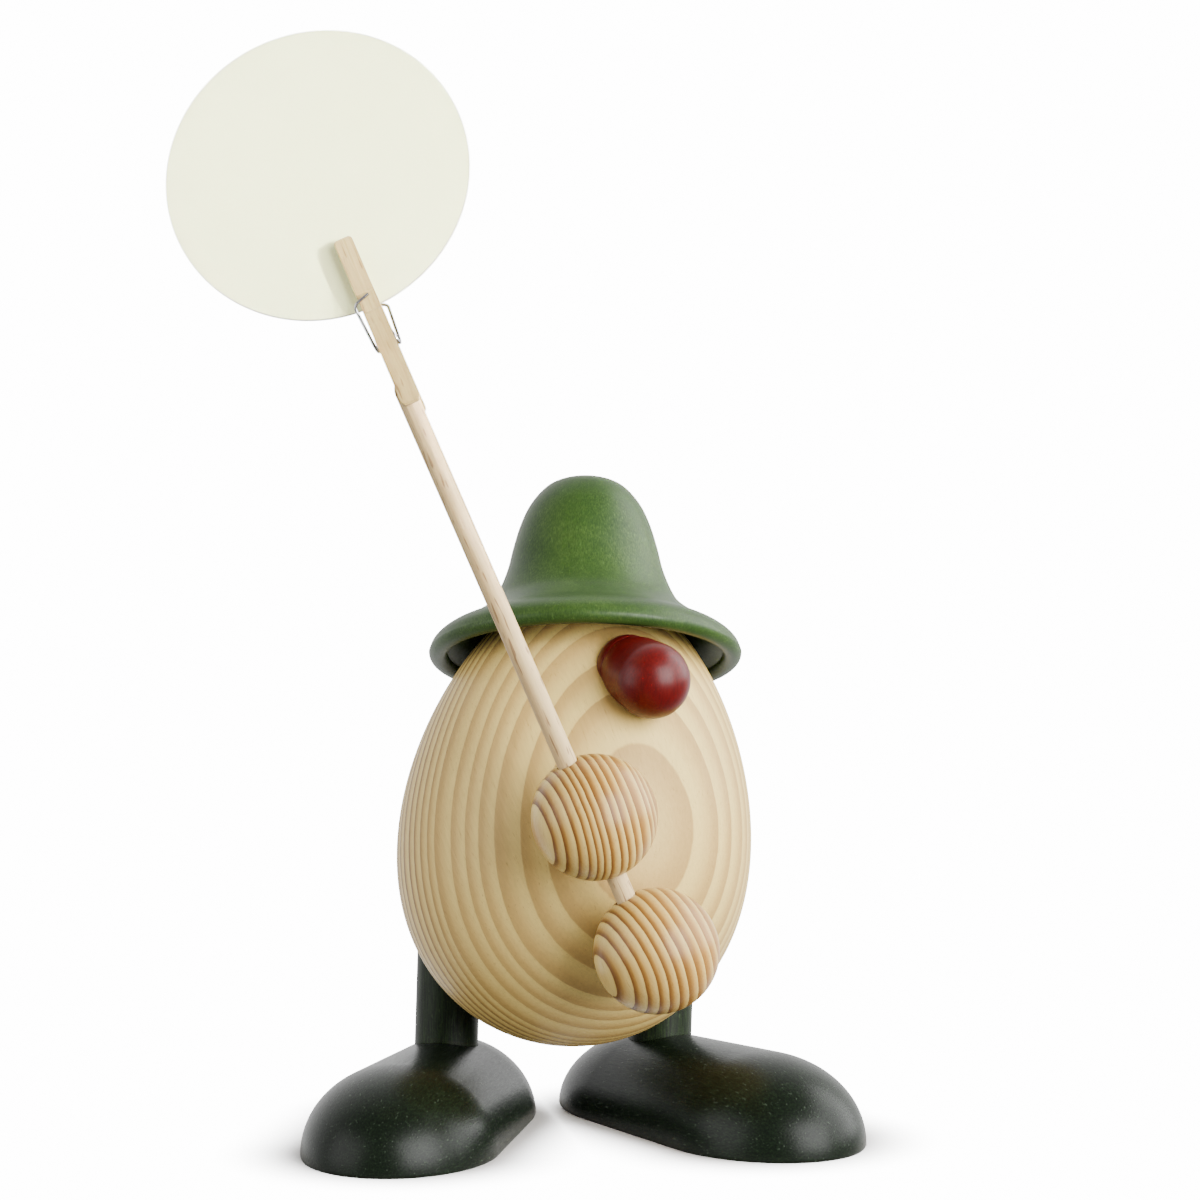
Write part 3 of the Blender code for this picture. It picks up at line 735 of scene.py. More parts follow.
def rod_outline(radius: float, low: float, high: float, ease: float, stops: int = 1) -> OUTLINE:
    """Outline of a rod with eased ends."""
    rows = [(0.0, high), (radius * 0.5, high), (radius - ease, high), (radius - 0.3 * ease, high - 0.3 * ease)]
    rows += [(radius, high - ease - (high - low - 2.0 * ease) * i / stops) for i in range(stops + 1)]
    rows += [(radius - 0.3 * ease, low + 0.3 * ease), (radius - ease, low), (radius * 0.5, low), (0.0, low)]
    return rows


def carve(piece: PIECE, cutters: Sequence[PIECE], crease: float = 35.0) -> PIECE:
    """Take cutters out of a piece and remove them.

    Args:
        piece: the piece to cut.
        cutters: closed shapes to take out.
        crease: the angle in degrees past which an edge stays sharp.

    Returns:
        The cut piece, a plain mesh.
    """
    for cutter in cutters:
        modifier = piece.modifiers.new(cutter.name[:30], "BOOLEAN")
        modifier.operation = "DIFFERENCE"
        modifier.solver = "EXACT"
        modifier.object = cutter
    settled(piece)
    for cutter in cutters:
        bpy.data.objects.remove(cutter, do_unlink=True)
    piece.data.set_sharp_from_angle(angle=math.radians(crease))
    return piece


def dressed(piece: PIECE, finish: MATERIAL) -> PIECE:
    """The piece with one finish all over."""
    piece.data.materials.clear()
    piece.data.materials.append(finish)
    for face in piece.data.polygons:
        face.material_index = 0
    return piece


def settle_in(piece: PIECE, body: str, slot: str, *nodes: str) -> None:
    """Join a piece to its body and let it stand for its nodes."""
    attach(piece, body)
    if nodes:
        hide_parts(*nodes)
    LOG.info("%s rides on %s with %d faces", piece.name, body, len(piece.data.polygons))


# Sub-assemblies

@dataclass
class Egg:
    """The turned egg body, which the hat, nose, hands and legs are fitted to."""

    radius: float = 0.04615
    half_length: float = 0.0617
    taper: float = -0.161
    centre: TRIPLE = (0.0038, 0.0010, 0.08485)
    lean: tuple[float, float] = (0.111, 0.123)
    rows: int = 150
    steps: int = 256
    frame: Matrix = field(init=False)

    def __post_init__(self) -> None:
        """Work out the egg's frame."""
        self.frame = upright(Vector(self.centre) + LAYOUT_SHIFT, (self.lean[0], self.lean[1], 1.0))

    def radius_at(self, level: float) -> float:
        """Radius at a level from -1 at the bottom to 1 at the top."""
        return self.radius * math.sqrt(max(1.0 - level * level, 0.0)) * (1.0 + self.taper * level)

    def slope_at(self, level: float) -> float:
        """Change of the radius for each metre up the axis."""
        return (self.radius_at(level + 1e-5) - self.radius_at(level - 1e-5)) / (2e-5 * self.half_length)

    def surface(self, level: float, turn: float) -> tuple[Vector, Vector]:
        """World point and outward direction, turned from the front towards the figure's left."""
        out = Vector((math.sin(turn), -math.cos(turn), 0.0))
        radius = self.radius_at(level)
        normal = Vector((out.x, out.y, -self.slope_at(level))).normalized()
        return self.frame @ Vector((out.x * radius, out.y * radius, level * self.half_length)), \
            self.frame.to_3x3() @ normal

    def outline(self, extra: float, rows: int) -> OUTLINE:
        """Outline from top to bottom, grown by a clearance."""
        line = [(0.0, self.half_length + extra)]
        for i in range(1, rows):
            level = math.cos(math.pi * i / rows)
            slope = self.slope_at(level)
            size = math.hypot(1.0, slope)
            line.append((self.radius_at(level) + extra / size, level * self.half_length - extra * slope / size))
        return line + [(0.0, -self.half_length - extra)]

    def holds(self, spot: Vector, cover: float) -> bool:
        """Whether a world point lies inside with at least the given cover."""
        local = self.frame.inverted() @ spot
        level = local.z / (self.half_length - cover)
        return abs(level) < 1.0 and math.hypot(local.x, local.y) < self.radius_at(level) - cover

    def room(self, name: str) -> PIECE:
        """Cutter that clears the egg from a piece seated on it."""
        return turned(name, self.outline(SNUG, 90), self.frame, None, 128)

    def build(self, bores: Sequence[PIECE]) -> PIECE:
        """Turn the egg and bore it with the given cutters."""
        egg = turned("egg_body", self.outline(0.0, self.rows), self.frame, None, self.steps)
        return carve(egg, bores)

    def dress(self, egg: PIECE) -> None:
        """Give the egg its clear softwood."""
        wood = RingWood(
            "clear_softwood", pith=(0.26354, -0.95872, 0.08485), way=(-0.27208, 0.50872, 0.81681),
            edges=(1.1970, 1.20158, 1.20632, 1.21053, 1.21611, 1.22019, 1.22403, 1.22875, 1.23529, 1.23862,
                   1.24232, 1.24601, 1.24964, 1.25419, 1.2581, 1.2624, 1.2663, 1.2703, 1.2747, 1.2789, 1.2828,
                   1.2871, 1.2912, 1.2955, 1.2998, 1.3045),
            early=(0.55, 0.405, 0.130), middle=(0.41, 0.268, 0.083), late=(0.150, 0.075, 0.022),
            taper=1.090447, bend=-0.615195, late_share=0.66, tender=(7.0, 12.0, 0.26))
        settle_in(dressed(egg, wood.make()), "figure", "pale_softwood", "body")


@dataclass
class Hat:
    """The turned hat sunk over the egg's top.

    Profile and dish hold shares of the radius and the height. The profile is based on a least-squares fit to
    the hat's outline.
    """

    egg: Egg
    radius: float = 0.0414
    height: float = 0.0483
    roll: float = 0.0025
    level: float = 0.684
    shift: tuple[float, float] = (-0.0014, 0.0008)
    lean: tuple[float, float] = (0.0677, 0.384)
    profile: tuple[tuple[float, float], ...] = (
        (0.0, 1.0), (0.125, 0.988), (0.227, 0.956), (0.300, 0.903), (0.370, 0.819), (0.423, 0.714),
        (0.466, 0.588), (0.502, 0.462), (0.560, 0.336), (0.626, 0.252), (0.756, 0.168), (0.901, 0.105),
        (0.972, 0.053), (1.0, 0.0))
    dish: tuple[tuple[float, float], ...] = ((0.868, 0.006), (0.797, 0.042), (0.713, 0.095), (0.628, 0.168))

    def frame(self) -> Matrix:
        """The hat's frame, its Z up the hat's axis."""
        seat = self.egg.frame @ Vector((0.0, 0.0, self.level * self.egg.half_length))
        seat += Vector((self.shift[0], self.shift[1], 0.0))
        return upright(seat, (self.lean[0], self.lean[1], 1.0))

    def build(self) -> PIECE:
        """Turn the hat and hollow it over the egg."""
        line = smooth_line([(r * self.radius, h * self.height) for r, h in self.profile], 8)
        middle = self.radius - self.roll
        line += [(middle + self.roll * math.cos(a), -self.roll * math.sin(a))
                 for a in np.linspace(0.0, math.pi, 20)[1:]]
        dish = [(r * self.radius, h * self.height) for r, h in self.dish]
        line += smooth_line([line[-1]] + dish, 6)[1:]
        line += [(dish[-1][0] * share, dish[-1][1]) for share in (0.66, 0.33, 0.0)]
        hat = turned("turned_hat", line, self.frame(), None, 240)
        return carve(hat, [self.egg.room("hat_room")])

    def dress(self, hat: PIECE) -> None:
        """Give the hat its green stain."""
        stain = StainedWood(
            "green_stain", way=(*self.lean, 1.0), deep=(0.0080, 0.0225, 0.0028), body=(0.0180, 0.0395, 0.0066),
            light=(0.0350, 0.0650, 0.0130), gloss=0.42, speck=0.22, shine=0.17, relief=0.000012, patchy=0.02,
            streak_scale=3000.0, stretch=4.0)
        settle_in(dressed(hat, stain.make()), "figure", "green_stained_wood", "hat")


@dataclass
class Nose:
    """The turned nose, a pear of two lobes seated on the egg."""

    egg: Egg
    base: float = 0.0085
    tip: float = 0.0099
    length: float = 0.0120
    waist: float = 0.0093
    level: float = 0.624
    turn: float = math.radians(7.6)
    aim: TRIPLE = (0.332, -0.925, -0.185)

    def build(self) -> PIECE:
        """Turn the nose and hollow its back."""
        seat, _ = self.egg.surface(self.level, self.turn)
        line = [(self.tip * math.sin(a), self.length + self.tip * math.cos(a))
                for a in np.linspace(0.0, math.radians(100.0), 40)]
        neck = [line[-2], line[-1], (self.waist, self.length * 0.36)]
        rest = [(self.base * math.sin(a), self.base * math.cos(a))
                for a in np.linspace(math.radians(86.0), math.pi, 28)]
        line = line[:-2] + smooth_line(neck + rest[:2], 5) + rest[2:]
        line[0] = (0.0, self.length + self.tip)
        line[-1] = (0.0, -self.base)
        nose = turned("turned_nose", line, upright(seat, self.aim), None, 128)
        return carve(nose, [self.egg.room("nose_room")])

    def dress(self, nose: PIECE) -> None:
        """Give the nose its red varnish."""
        stain = StainedWood(
            "red_varnish", way=(0.0, -0.2, 1.0), deep=(0.042, 0.0019, 0.0017), body=(0.060, 0.0020, 0.0016),
            light=(0.074, 0.0036, 0.0024), gloss=0.345, shine=0.17, relief=0.000002, patchy=0.01, speck=0.05,
            streak_scale=1500.0, stretch=7.0)
        settle_in(dressed(nose, stain.make()), "figure", "red_varnished_wood", "nose")


@dataclass
class Hand:
    """One turned ball that touches the egg and is bored for the stick.

    The skin is what the finish takes off, so that the ball stays inside its solid.
    """

    egg: Egg
    side: str
    level: float
    turn: float
    pith: TRIPLE
    way: TRIPLE
    edges: tuple[float, ...]
    heart: TRIPLE
    radius: float = 0.016
    skin: float = 0.00002

    def middle(self) -> Vector:
        """The ball's middle."""
        touch, normal = self.egg.surface(self.level, self.turn)
        return touch + normal * (self.radius + GAP)

    def build(self, bore: PIECE) -> PIECE:
        """Turn the ball and bore it."""
        _, normal = self.egg.surface(self.level, self.turn)
        size = self.radius - self.skin
        line = [(size * math.sin(a), size * math.cos(a)) for a in np.linspace(0.0, math.pi, 97)]
        line[0] = (0.0, size)
        line[-1] = (0.0, -size)
        return carve(turned(self.side + "_ball_hand", line, upright(self.middle(), normal), None, 160), [bore])

    def dress(self, hand: PIECE) -> None:
        """Give the ball its striped softwood."""
        middle = self.middle()
        wood = RingWood(
            self.side + "_striped_softwood", pith=tuple(middle + Vector(self.pith)), way=self.way,
            edges=tuple(Vector(self.pith).length + edge for edge in self.edges),
            early=(0.55, 0.405, 0.132), middle=(0.31, 0.158, 0.034), late=(0.098, 0.034, 0.006), wobble=0.0004,
            wobble_scale=60.0, late_share=0.70, gloss=0.30, ridge=0.00003, shine=0.18,
            tender=(1.0, 7.0, 0.36), heart=(middle, Vector(self.heart).normalized(), -0.008, 0.010))
        settle_in(dressed(hand, wood.make()), "figure", "striped_softwood", self.side + "_hand")


@dataclass
class Leg:
    """One leg and the shoe that it stands in.

    Toe and heel are flat-bottomed domes: place ahead of the leg, half length, half width, height and power.
    """

    egg: Egg
    side: str
    sign: float
    out: float
    splay: float
    back: float = 0.0195
    radius: float = 0.0085
    lean: tuple[float, float] = (0.033, -0.006)
    bite: float = 0.010
    cover: float = 0.0015
    edge: float = 0.0006
    skin: float = 0.00009
    toe: tuple[float, float, float, float, float] = (0.0445, 0.0323, 0.0257, 0.0233, 2.06)
    heel: tuple[float, float, float, float, float] = (0.0, 0.0347, 0.0232, 0.0220, 1.87)

    def place(self) -> Vector:
        """Where the leg's axis meets the floor."""
        return Vector((self.sign * self.out, self.back, 0.0)) + LAYOUT_SHIFT

    def frame(self) -> Matrix:
        """The leg's frame at the shoe's top."""
        return upright(self.place() + UP * self.heel[3], (self.lean[0], self.lean[1], 1.0))

    def toe_way(self) -> Vector:
        """Direction from the heel to the toe."""
        return Vector((self.sign * math.sin(self.splay), -math.cos(self.splay), 0.0))

    def top(self) -> float:
        """Height at which the leg's whole end lies inside the egg."""
        height = 0.0
        while height < 0.2:
            rim = [self.frame() @ Vector((self.radius * math.cos(a), self.radius * math.sin(a), height))
                   for a in np.linspace(0.0, 2.0 * math.pi, 16, endpoint=False)]
            if all(self.egg.holds(spot, self.cover) for spot in rim):
                break
            height += 0.00025
        return height

    def bore(self, name: str, low: float, high: float) -> PIECE:
        """Cutter for the leg's hole."""
        return turned(name, rod_outline(self.radius + SNUG, low, high, BORE_EASE), self.frame(), None, 96)

    def build_leg(self) -> PIECE:
        """Turn the leg."""
        return turned(self.side + "_peg_leg", rod_outline(self.radius, -self.bite, self.top(), 0.0004, 12),
                      self.frame(), None, 96)

    def farthest(self, dome: Sequence[float], way: Vector) -> Vector:
        """Point of a flat-bottomed dome that lies farthest along a direction that doesn't look down."""
        ahead, height, power = dome[0], dome[3], dome[4]
        half_length, half_width = dome[1] - self.skin, dome[2] - self.skin
        flat = math.hypot(half_length * way.x, half_width * way.y)
        rise = (height - self.edge) * max(way.z, 0.0)
        dual = power / (power - 1.0)
        size = (flat ** dual + rise ** dual) ** (1.0 / dual)
        out = (flat / size) ** (dual - 1.0)
        lift = (rise / size) ** (dual - 1.0)
        share = out / max(flat, 1e-12)
        return Vector((ahead + half_length ** 2 * way.x * share, half_width ** 2 * way.y * share,
                       self.edge + (height - self.edge) * lift))

    def build_shoe(self) -> PIECE:
        """Wrap one smooth skin round the toe's and the heel's domes and bore it for the leg."""
        around, rise = 192, 44
        rings = []
        for k in range(rise + 1):
            tilt = math.pi / 2.0 * (k / rise) ** 1.25
            ring = []
            for i in range(around):
                turn = 2.0 * math.pi * i / around
                way = Vector((math.cos(turn) * math.cos(tilt), math.sin(turn) * math.cos(tilt), math.sin(tilt)))
                ring.append(max((self.farthest(dome, way) for dome in (self.toe, self.heel)), key=way.dot))
            rings.append(ring)
        middle = Vector((self.toe[0] / 2.0, 0.0, 0.0))
        sole = []
        for spot in rings[0]:
            inward = (middle - spot).normalized() * (self.edge * 0.6)
            sole.append(Vector((spot.x + inward.x, spot.y + inward.y, 0.0)))
        shape = bmesh.new()
        rows = [[shape.verts.new(spot) for spot in ring] for ring in [sole] + rings]
        skinned(shape, rows)
        shape.faces.new(list(reversed(rows[0])))
        bmesh.ops.remove_doubles(shape, verts=shape.verts, dist=0.000004)
        bmesh.ops.holes_fill(shape, edges=[edge for edge in shape.edges if edge.is_boundary], sides=0)
        bmesh.ops.recalc_face_normals(shape, faces=shape.faces)
        for face in shape.faces:
            face.smooth = len(face.verts) < 10
        mesh = baked(self.side + "_turned_shoe", shape)
        turn_matrix = Matrix((self.toe_way(), UP.cross(self.toe_way()), UP)).transposed().to_4x4()
        mesh.transform(Matrix.Translation(self.place()) @ turn_matrix)
        shoe = link(self.side + "_turned_shoe", mesh)
        return carve(shoe, [self.bore(self.side + "_shoe_hole", -self.bite - SNUG, self.bite)])

    def dress(self, leg: PIECE, shoe: PIECE) -> None:
        """Give leg and shoe their dark stain."""
        upright_stain = StainedWood(
            self.side + "_leg_stain", way=(0.03, 0.0, 1.0), deep=(0.0008, 0.0018, 0.0006),
            body=(0.0050, 0.0095, 0.0024), light=(0.0120, 0.0230, 0.0060), gloss=0.46, speck=0.35, shine=0.18,
            relief=0.00001, streak_scale=2200.0, stretch=12.0, cloudy=0.2)
        shoe_stain = StainedWood(
            self.side + "_shoe_stain", way=tuple(self.toe_way()), deep=(0.0010, 0.0018, 0.0009),
            body=(0.0028, 0.0052, 0.0024), light=(0.0070, 0.0130, 0.0058), gloss=0.31, speck=0.7, shine=0.125,
            relief=0.00005, patchy=0.04, cloudy=0.22, streak_scale=2400.0, stretch=9.0)
        settle_in(dressed(leg, upright_stain.make()), "figure", "dark_stained_wood", self.side + "_leg")
        settle_in(dressed(shoe, shoe_stain.make()), "figure", "dark_stained_wood", self.side + "_shoe")


@dataclass
class Stick:
    """The stick that the two hands hold and that carries the peg."""

    upper: Hand
    lower: Hand
    radius: float = 0.0026
    up: TRIPLE = (-0.4017, -0.0456, 0.9146)
    shift: TRIPLE = (-0.00096, -0.00087, -0.0002)
    reach: float = 0.1133
    sink: float = 0.008
    side: float = 0.0006

    def frame(self) -> Matrix:
        """The stick's frame on the axis that it turns about."""
        return upright(self.upper.middle() + Vector(self.shift), self.up)

    def low(self) -> float:
        """Height of the stick's lower end in its frame."""
        return (self.lower.middle() - self.frame().translation).dot(Vector(self.up).normalized()) - self.sink

    def bore(self, name: str) -> PIECE:
        """Cutter for the hole in a hand."""
        outline = rod_outline(self.radius + GAP, self.low() - 0.0005, self.upper.radius * 2.0, BORE_EASE)
        return turned(name, outline, self.frame(), None, 64)

    def build(self, high: float, wedge: PIECE) -> PIECE:
        """Turn the stick and cut its top to the wedge that seats the peg."""
        outline = rod_outline(self.radius, self.low(), high, 0.0003, 60)
        return carve(turned("beech_stick", outline, self.frame(), None, 64), [wedge])

    def dress(self, stick: PIECE) -> None:
        """Give the stick its bare beech."""
        made = BeechWood("bare_beech", self.up, (0.52, 0.375, 0.180), (0.40, 0.268, 0.122),
                         (0.14, 0.068, 0.028)).make()
        settle_in(dressed(stick, made), "holder", "beech", "stick")


@dataclass
class Peg:
    """The small clothes peg: two arms, a wire spring, and its place on the stick."""

    stick: Stick
    up: TRIPLE = (-0.3101, 0.4421, 0.8417)
    face: TRIPLE = (-0.2904, -0.8871, 0.3589)
    length: float = 0.048
    width: float = 0.0048
    coil: float = 0.0286
    tip_depth: float = 0.0031
    coil_depth: float = 0.0039
    end_depth: float = 0.0053
    end_thickness: float = 0.0015
    corner: float = 0.0010
    groove_top: float = 0.0159
    groove_length: float = 0.0054
    groove_depth: float = 0.0004
    wire: float = 0.0004
    coil_radius: float = 0.0018
    coil_turns: int = 4
    hook_above: float = 0.0109
    hook_end: float = 0.0007
    bulge: float = 0.0006
    card_thickness: float = 0.0008
    lip: float = 0.0002
    ease: float = 0.0003
    side_room: float = 0.00005
    hook_room: float = 0.0001
    inner_end: float = field(init=False)
    jaw_inner: float = field(init=False)
    groove: float = field(init=False)
    taper_start: float = field(init=False)

    def __post_init__(self) -> None:
        """Work out the distances that follow from the sizes."""
        self.inner_end = self.end_depth - self.end_thickness
        self.jaw_inner = self.card_thickness / 2.0 + GAP
        self.groove = self.coil_radius + self.wire + GAP
        self.taper_start = self.coil + math.sqrt(self.groove ** 2 - (self.jaw_inner + self.lip) ** 2)

    def frame(self) -> Matrix:
        """The peg's frame on the coil: X across the arms, Y away from the front, Z up to the jaws."""
        face = Vector(self.face).normalized()
        up = (Vector(self.up) - face * Vector(self.up).dot(face)).normalized()
        across = up.cross(face)
        stick_up = Vector(self.stick.up).normalized()
        depth = self.stick.radius / math.sqrt(1.0 - stick_up.dot(face) ** 2)
        place = self.stick.frame().translation + stick_up * self.stick.reach + across * self.stick.side
        place += up * (self.length - self.coil) - face * (self.inner_end - GAP - depth)
        return Matrix.Translation(place) @ Matrix((across, -face, up)).transposed().to_4x4()

    def outer_depth(self, down: float) -> float:
        """Distance of an arm's outer face from the middle plane."""
        if down < self.coil:
            return self.tip_depth + (self.coil_depth - self.tip_depth) * down / self.coil
        share = (down - self.coil) / (self.length - self.coil)
        return self.coil_depth + (self.end_depth - self.coil_depth) * share

    def arm_outline(self, shorter: float) -> OUTLINE:
        """Side outline of an arm, each end drawn in by the given length."""
        end = self.length - shorter
        low = self.groove_top + self.groove_length
        cut = self.groove_depth
        line = [(shorter, self.outer_depth(shorter) - self.ease),
                (shorter + self.ease, self.outer_depth(shorter))]
        line += [(down, self.outer_depth(down)) for down in np.linspace(0.003, self.groove_top, 6)]
        line += [(self.groove_top + cut, self.outer_depth(self.groove_top) - cut),
                 (low - cut, self.outer_depth(low) - cut), (low, self.outer_depth(low))]
        line += [(down, self.outer_depth(down)) for down in (self.coil, 0.034, 0.040, end - self.ease)]
        line.append((end, self.outer_depth(end) - self.ease))
        share = (end - self.taper_start) / (self.length - self.taper_start)
        seat = self.jaw_inner + self.lip
        line.append((end, seat + (self.inner_end - seat) * share))
        start = math.asin(seat / self.groove)
        stop = math.pi - math.asin(self.jaw_inner / self.groove)
        line += [(self.coil + self.groove * math.cos(a), self.groove * math.sin(a))
                 for a in np.linspace(start, stop, 17)]
        line.append((shorter, self.jaw_inner))
        return line

    def build_arm(self, name: str, sign: float) -> PIECE:
        """Loft an arm across its width with rounded corners and eased edges."""
        half = self.width / 2.0
        turns = [math.pi / 2.0 * k / 6 for k in range(7)]
        stations = [(1.0 - math.cos(a), 1.0 - math.sin(a)) for a in turns]
        rows = [(-half + self.corner * along, self.corner * short) for along, short in stations]
        rows += [(half - self.corner * along, self.corner * short) for along, short in reversed(stations)]
        shape = bmesh.new()
        rings = [[shape.verts.new((across, -sign * depth, self.coil - down))
                  for down, depth in self.arm_outline(shorter)] for across, shorter in rows]
        skinned(shape, rings)
        shape.faces.new(list(reversed(rings[0])))
        shape.faces.new(rings[-1])
        bmesh.ops.recalc_face_normals(shape, faces=shape.faces)
        sides = [edge for edge in shape.edges if edge.calc_face_angle(0.0) > math.radians(50.0)]
        bmesh.ops.bevel(shape, geom=sides, offset=0.00018, segments=2, profile=0.5, affect="EDGES",
                        clamp_overlap=True)
        mesh = baked(name, shape)
        mesh.transform(self.frame())
        for face in mesh.polygons:
            face.use_smooth = True
        mesh.set_sharp_from_angle(angle=math.radians(30.0))
        return link(name, mesh)

    def wedge(self) -> PIECE:
        """Cutter that leaves the stick's top as a wedge behind the front arm."""
        way = math.atan2(self.inner_end - self.jaw_inner - self.lip, self.length - self.taper_start)
        size = self.length
        low = self.coil - self.length - GAP
        front = -(self.inner_end - GAP)
        back = front + size * math.tan(way)
        corners = [(x, y, z) for x in (-size, size)
                   for y, z in ((front, low), (back, low + size), (-size, low + size), (-size, low))]
        faces = [(0, 1, 2, 3), (7, 6, 5, 4)] + [((i + 1) % 4, i, i + 4, (i + 1) % 4 + 4) for i in range(4)]
        mesh = bpy.data.meshes.new("wedge_room")
        mesh.from_pydata(corners, [], faces)
        mesh.transform(self.frame())
        return link("wedge_room", outward(mesh))

    def wire_path(self) -> tuple[list[Vector], int]:
        """Work out the middle line of the spring: front hook, coil, rear hook.

        Returns:
            The line's points, and how many of them reach to the coil's end.
        """
        side = self.width / 2.0 + GAP + self.wire + self.side_room
        hook_down = self.coil - self.hook_above
        hook_out = self.outer_depth(hook_down) - self.groove_depth + GAP + self.wire + self.hook_room
        bend_x = side + self.bulge
        leg_top = Vector((-bend_x, hook_out - 0.0008, self.hook_above - 0.0018))
        reach = math.hypot(leg_top.y, leg_top.z)
        tangent = math.atan2(leg_top.z, leg_top.y) - math.acos(self.coil_radius / reach)
        whole = 2.0 * math.pi * self.coil_turns + math.pi + 2.0 * tangent
        steps = self.coil_turns * 28 + 14
        coil = []
        for i in range(steps + 1):
            angle = tangent - whole * i / steps
            coil.append(Vector((-side + 2.0 * side * i / steps, self.coil_radius * math.cos(angle),
                                self.coil_radius * math.sin(angle))))
        start = Vector((-self.width / 2.0 + self.lip, hook_out, self.hook_above))
        over = Vector((-bend_x, hook_out, self.hook_above - 0.0005))
        leg = [Vector((self.hook_end, hook_out, self.hook_above + 0.0009))]
        leg += [start * (1 - t) ** 2 + over * (2 * t * (1 - t)) + leg_top * t ** 2
                for t in np.linspace(0.0, 1.0, 15)]
        leg += [leg_top.lerp(coil[0], i / 8.0) for i in range(1, 8)]
        half_turn = Matrix.Diagonal((-1.0, -1.0, 1.0))
        path = leg + coil + [half_turn @ spot for spot in reversed(leg)]
        return [Vector((spot.x, -spot.y, spot.z)) for spot in path], len(leg) + len(coil)

    def build_spring(self, finish: MATERIAL) -> tuple[PIECE, PIECE]:
        """Draw the spring: the part that stays with the stick, and the leg that the rear arm carries."""
        path, split = self.wire_path()
        pieces = []
        for name, part in (("spring_coil", path[:split]), ("spring_rear_leg", path[split - 1:])):
            pieces.append(grown(name, WIRE, row_mesh(name, part), self.frame(), Wire_Radius=self.wire, Sides=20,
                                Finish=finish))
        return pieces[0], pieces[1]

    def dress(self, front: PIECE, rear: PIECE) -> None:
        """Give the arms their pale wood."""
        made = BeechWood("peg_wood", self.up, (0.430, 0.315, 0.122), (0.320, 0.222, 0.080),
                         (0.16, 0.080, 0.029), 0.5).make()
        settle_in(dressed(front, made), "holder", "peg_wood", "peg_front_arm")
        settle_in(dressed(rear, made), "press_arm", "peg_wood", "peg_rear_arm")


@dataclass
class Card:
    """The round card in the peg's jaws."""

    peg: Peg
    radius: float = 0.0387
    beyond: float = 0.0197
    side: float = 0.0006
    ease: float = 0.00012

    def frame(self) -> Matrix:
        """The card's frame at its middle, its Z out of the front face."""
        middle = Matrix.Translation((self.side, 0.0, self.peg.coil + self.beyond))
        return self.peg.frame() @ middle @ Matrix.Rotation(QUARTER_TURN, 4, "X")

    def build(self) -> PIECE:
        """Cut the card's disc with eased rims."""
        half = self.peg.card_thickness / 2.0
        rings = [(self.radius * share, half) for share in (0.0, 0.25, 0.5, 0.75, 0.97)]
        top = [(self.radius - self.ease * (1.0 - math.sin(a)), half - self.ease * (1.0 - math.cos(a)))
               for a in np.linspace(0.0, math.pi / 2.0, 5)]
        line = rings + top
        line += [(r, -h) for r, h in reversed(line)]
        card = turned("round_card", line, self.frame(), None, 256)
        card.data.set_sharp_from_angle(angle=math.radians(40.0))
        return card

    def dress(self, card: PIECE) -> None:
        """Give the card its cream board."""
        place = self.frame()
        board = CreamBoard("cream_board", tuple(place.translation), tuple(place.to_3x3() @ UP), self.radius)
        settle_in(dressed(card, board.make()), "card", "cream_board", "card")


@dataclass(frozen=True)
class Softbox:
    """Square soft light aimed at a point.

    The size is its side in metres, the power is in watts and the spread is its beam's angle in degrees.
    """

    name: str
    place: TRIPLE
    aim: TRIPLE
    size: float
    power: float
    spread: float = 180.0

    def hang(self) -> None:
        """Put the light in the scene."""
        lamp = bpy.data.lights.new(self.name, "AREA")
        lamp.shape = "SQUARE"
        lamp.size = self.size
        lamp.energy = self.power
        lamp.spread = math.radians(self.spread)
        aimed(self.name, lamp, self.place, self.aim)


def aimed(name: str, data: bpy.types.ID, place: Sequence[float], aim: Sequence[float]) -> PIECE:
    """Light or camera at a place, looking at a point."""
    holder = link(name, data)
    holder.location = place
    holder.rotation_euler = (Vector(aim) - Vector(place)).to_track_quat("-Z", "Y").to_euler()
    return holder


FIGURE_MIDDLE = (0.02, 0.0, 0.13)
CARD_MIDDLE = (-0.0536, -0.0245, 0.2700)


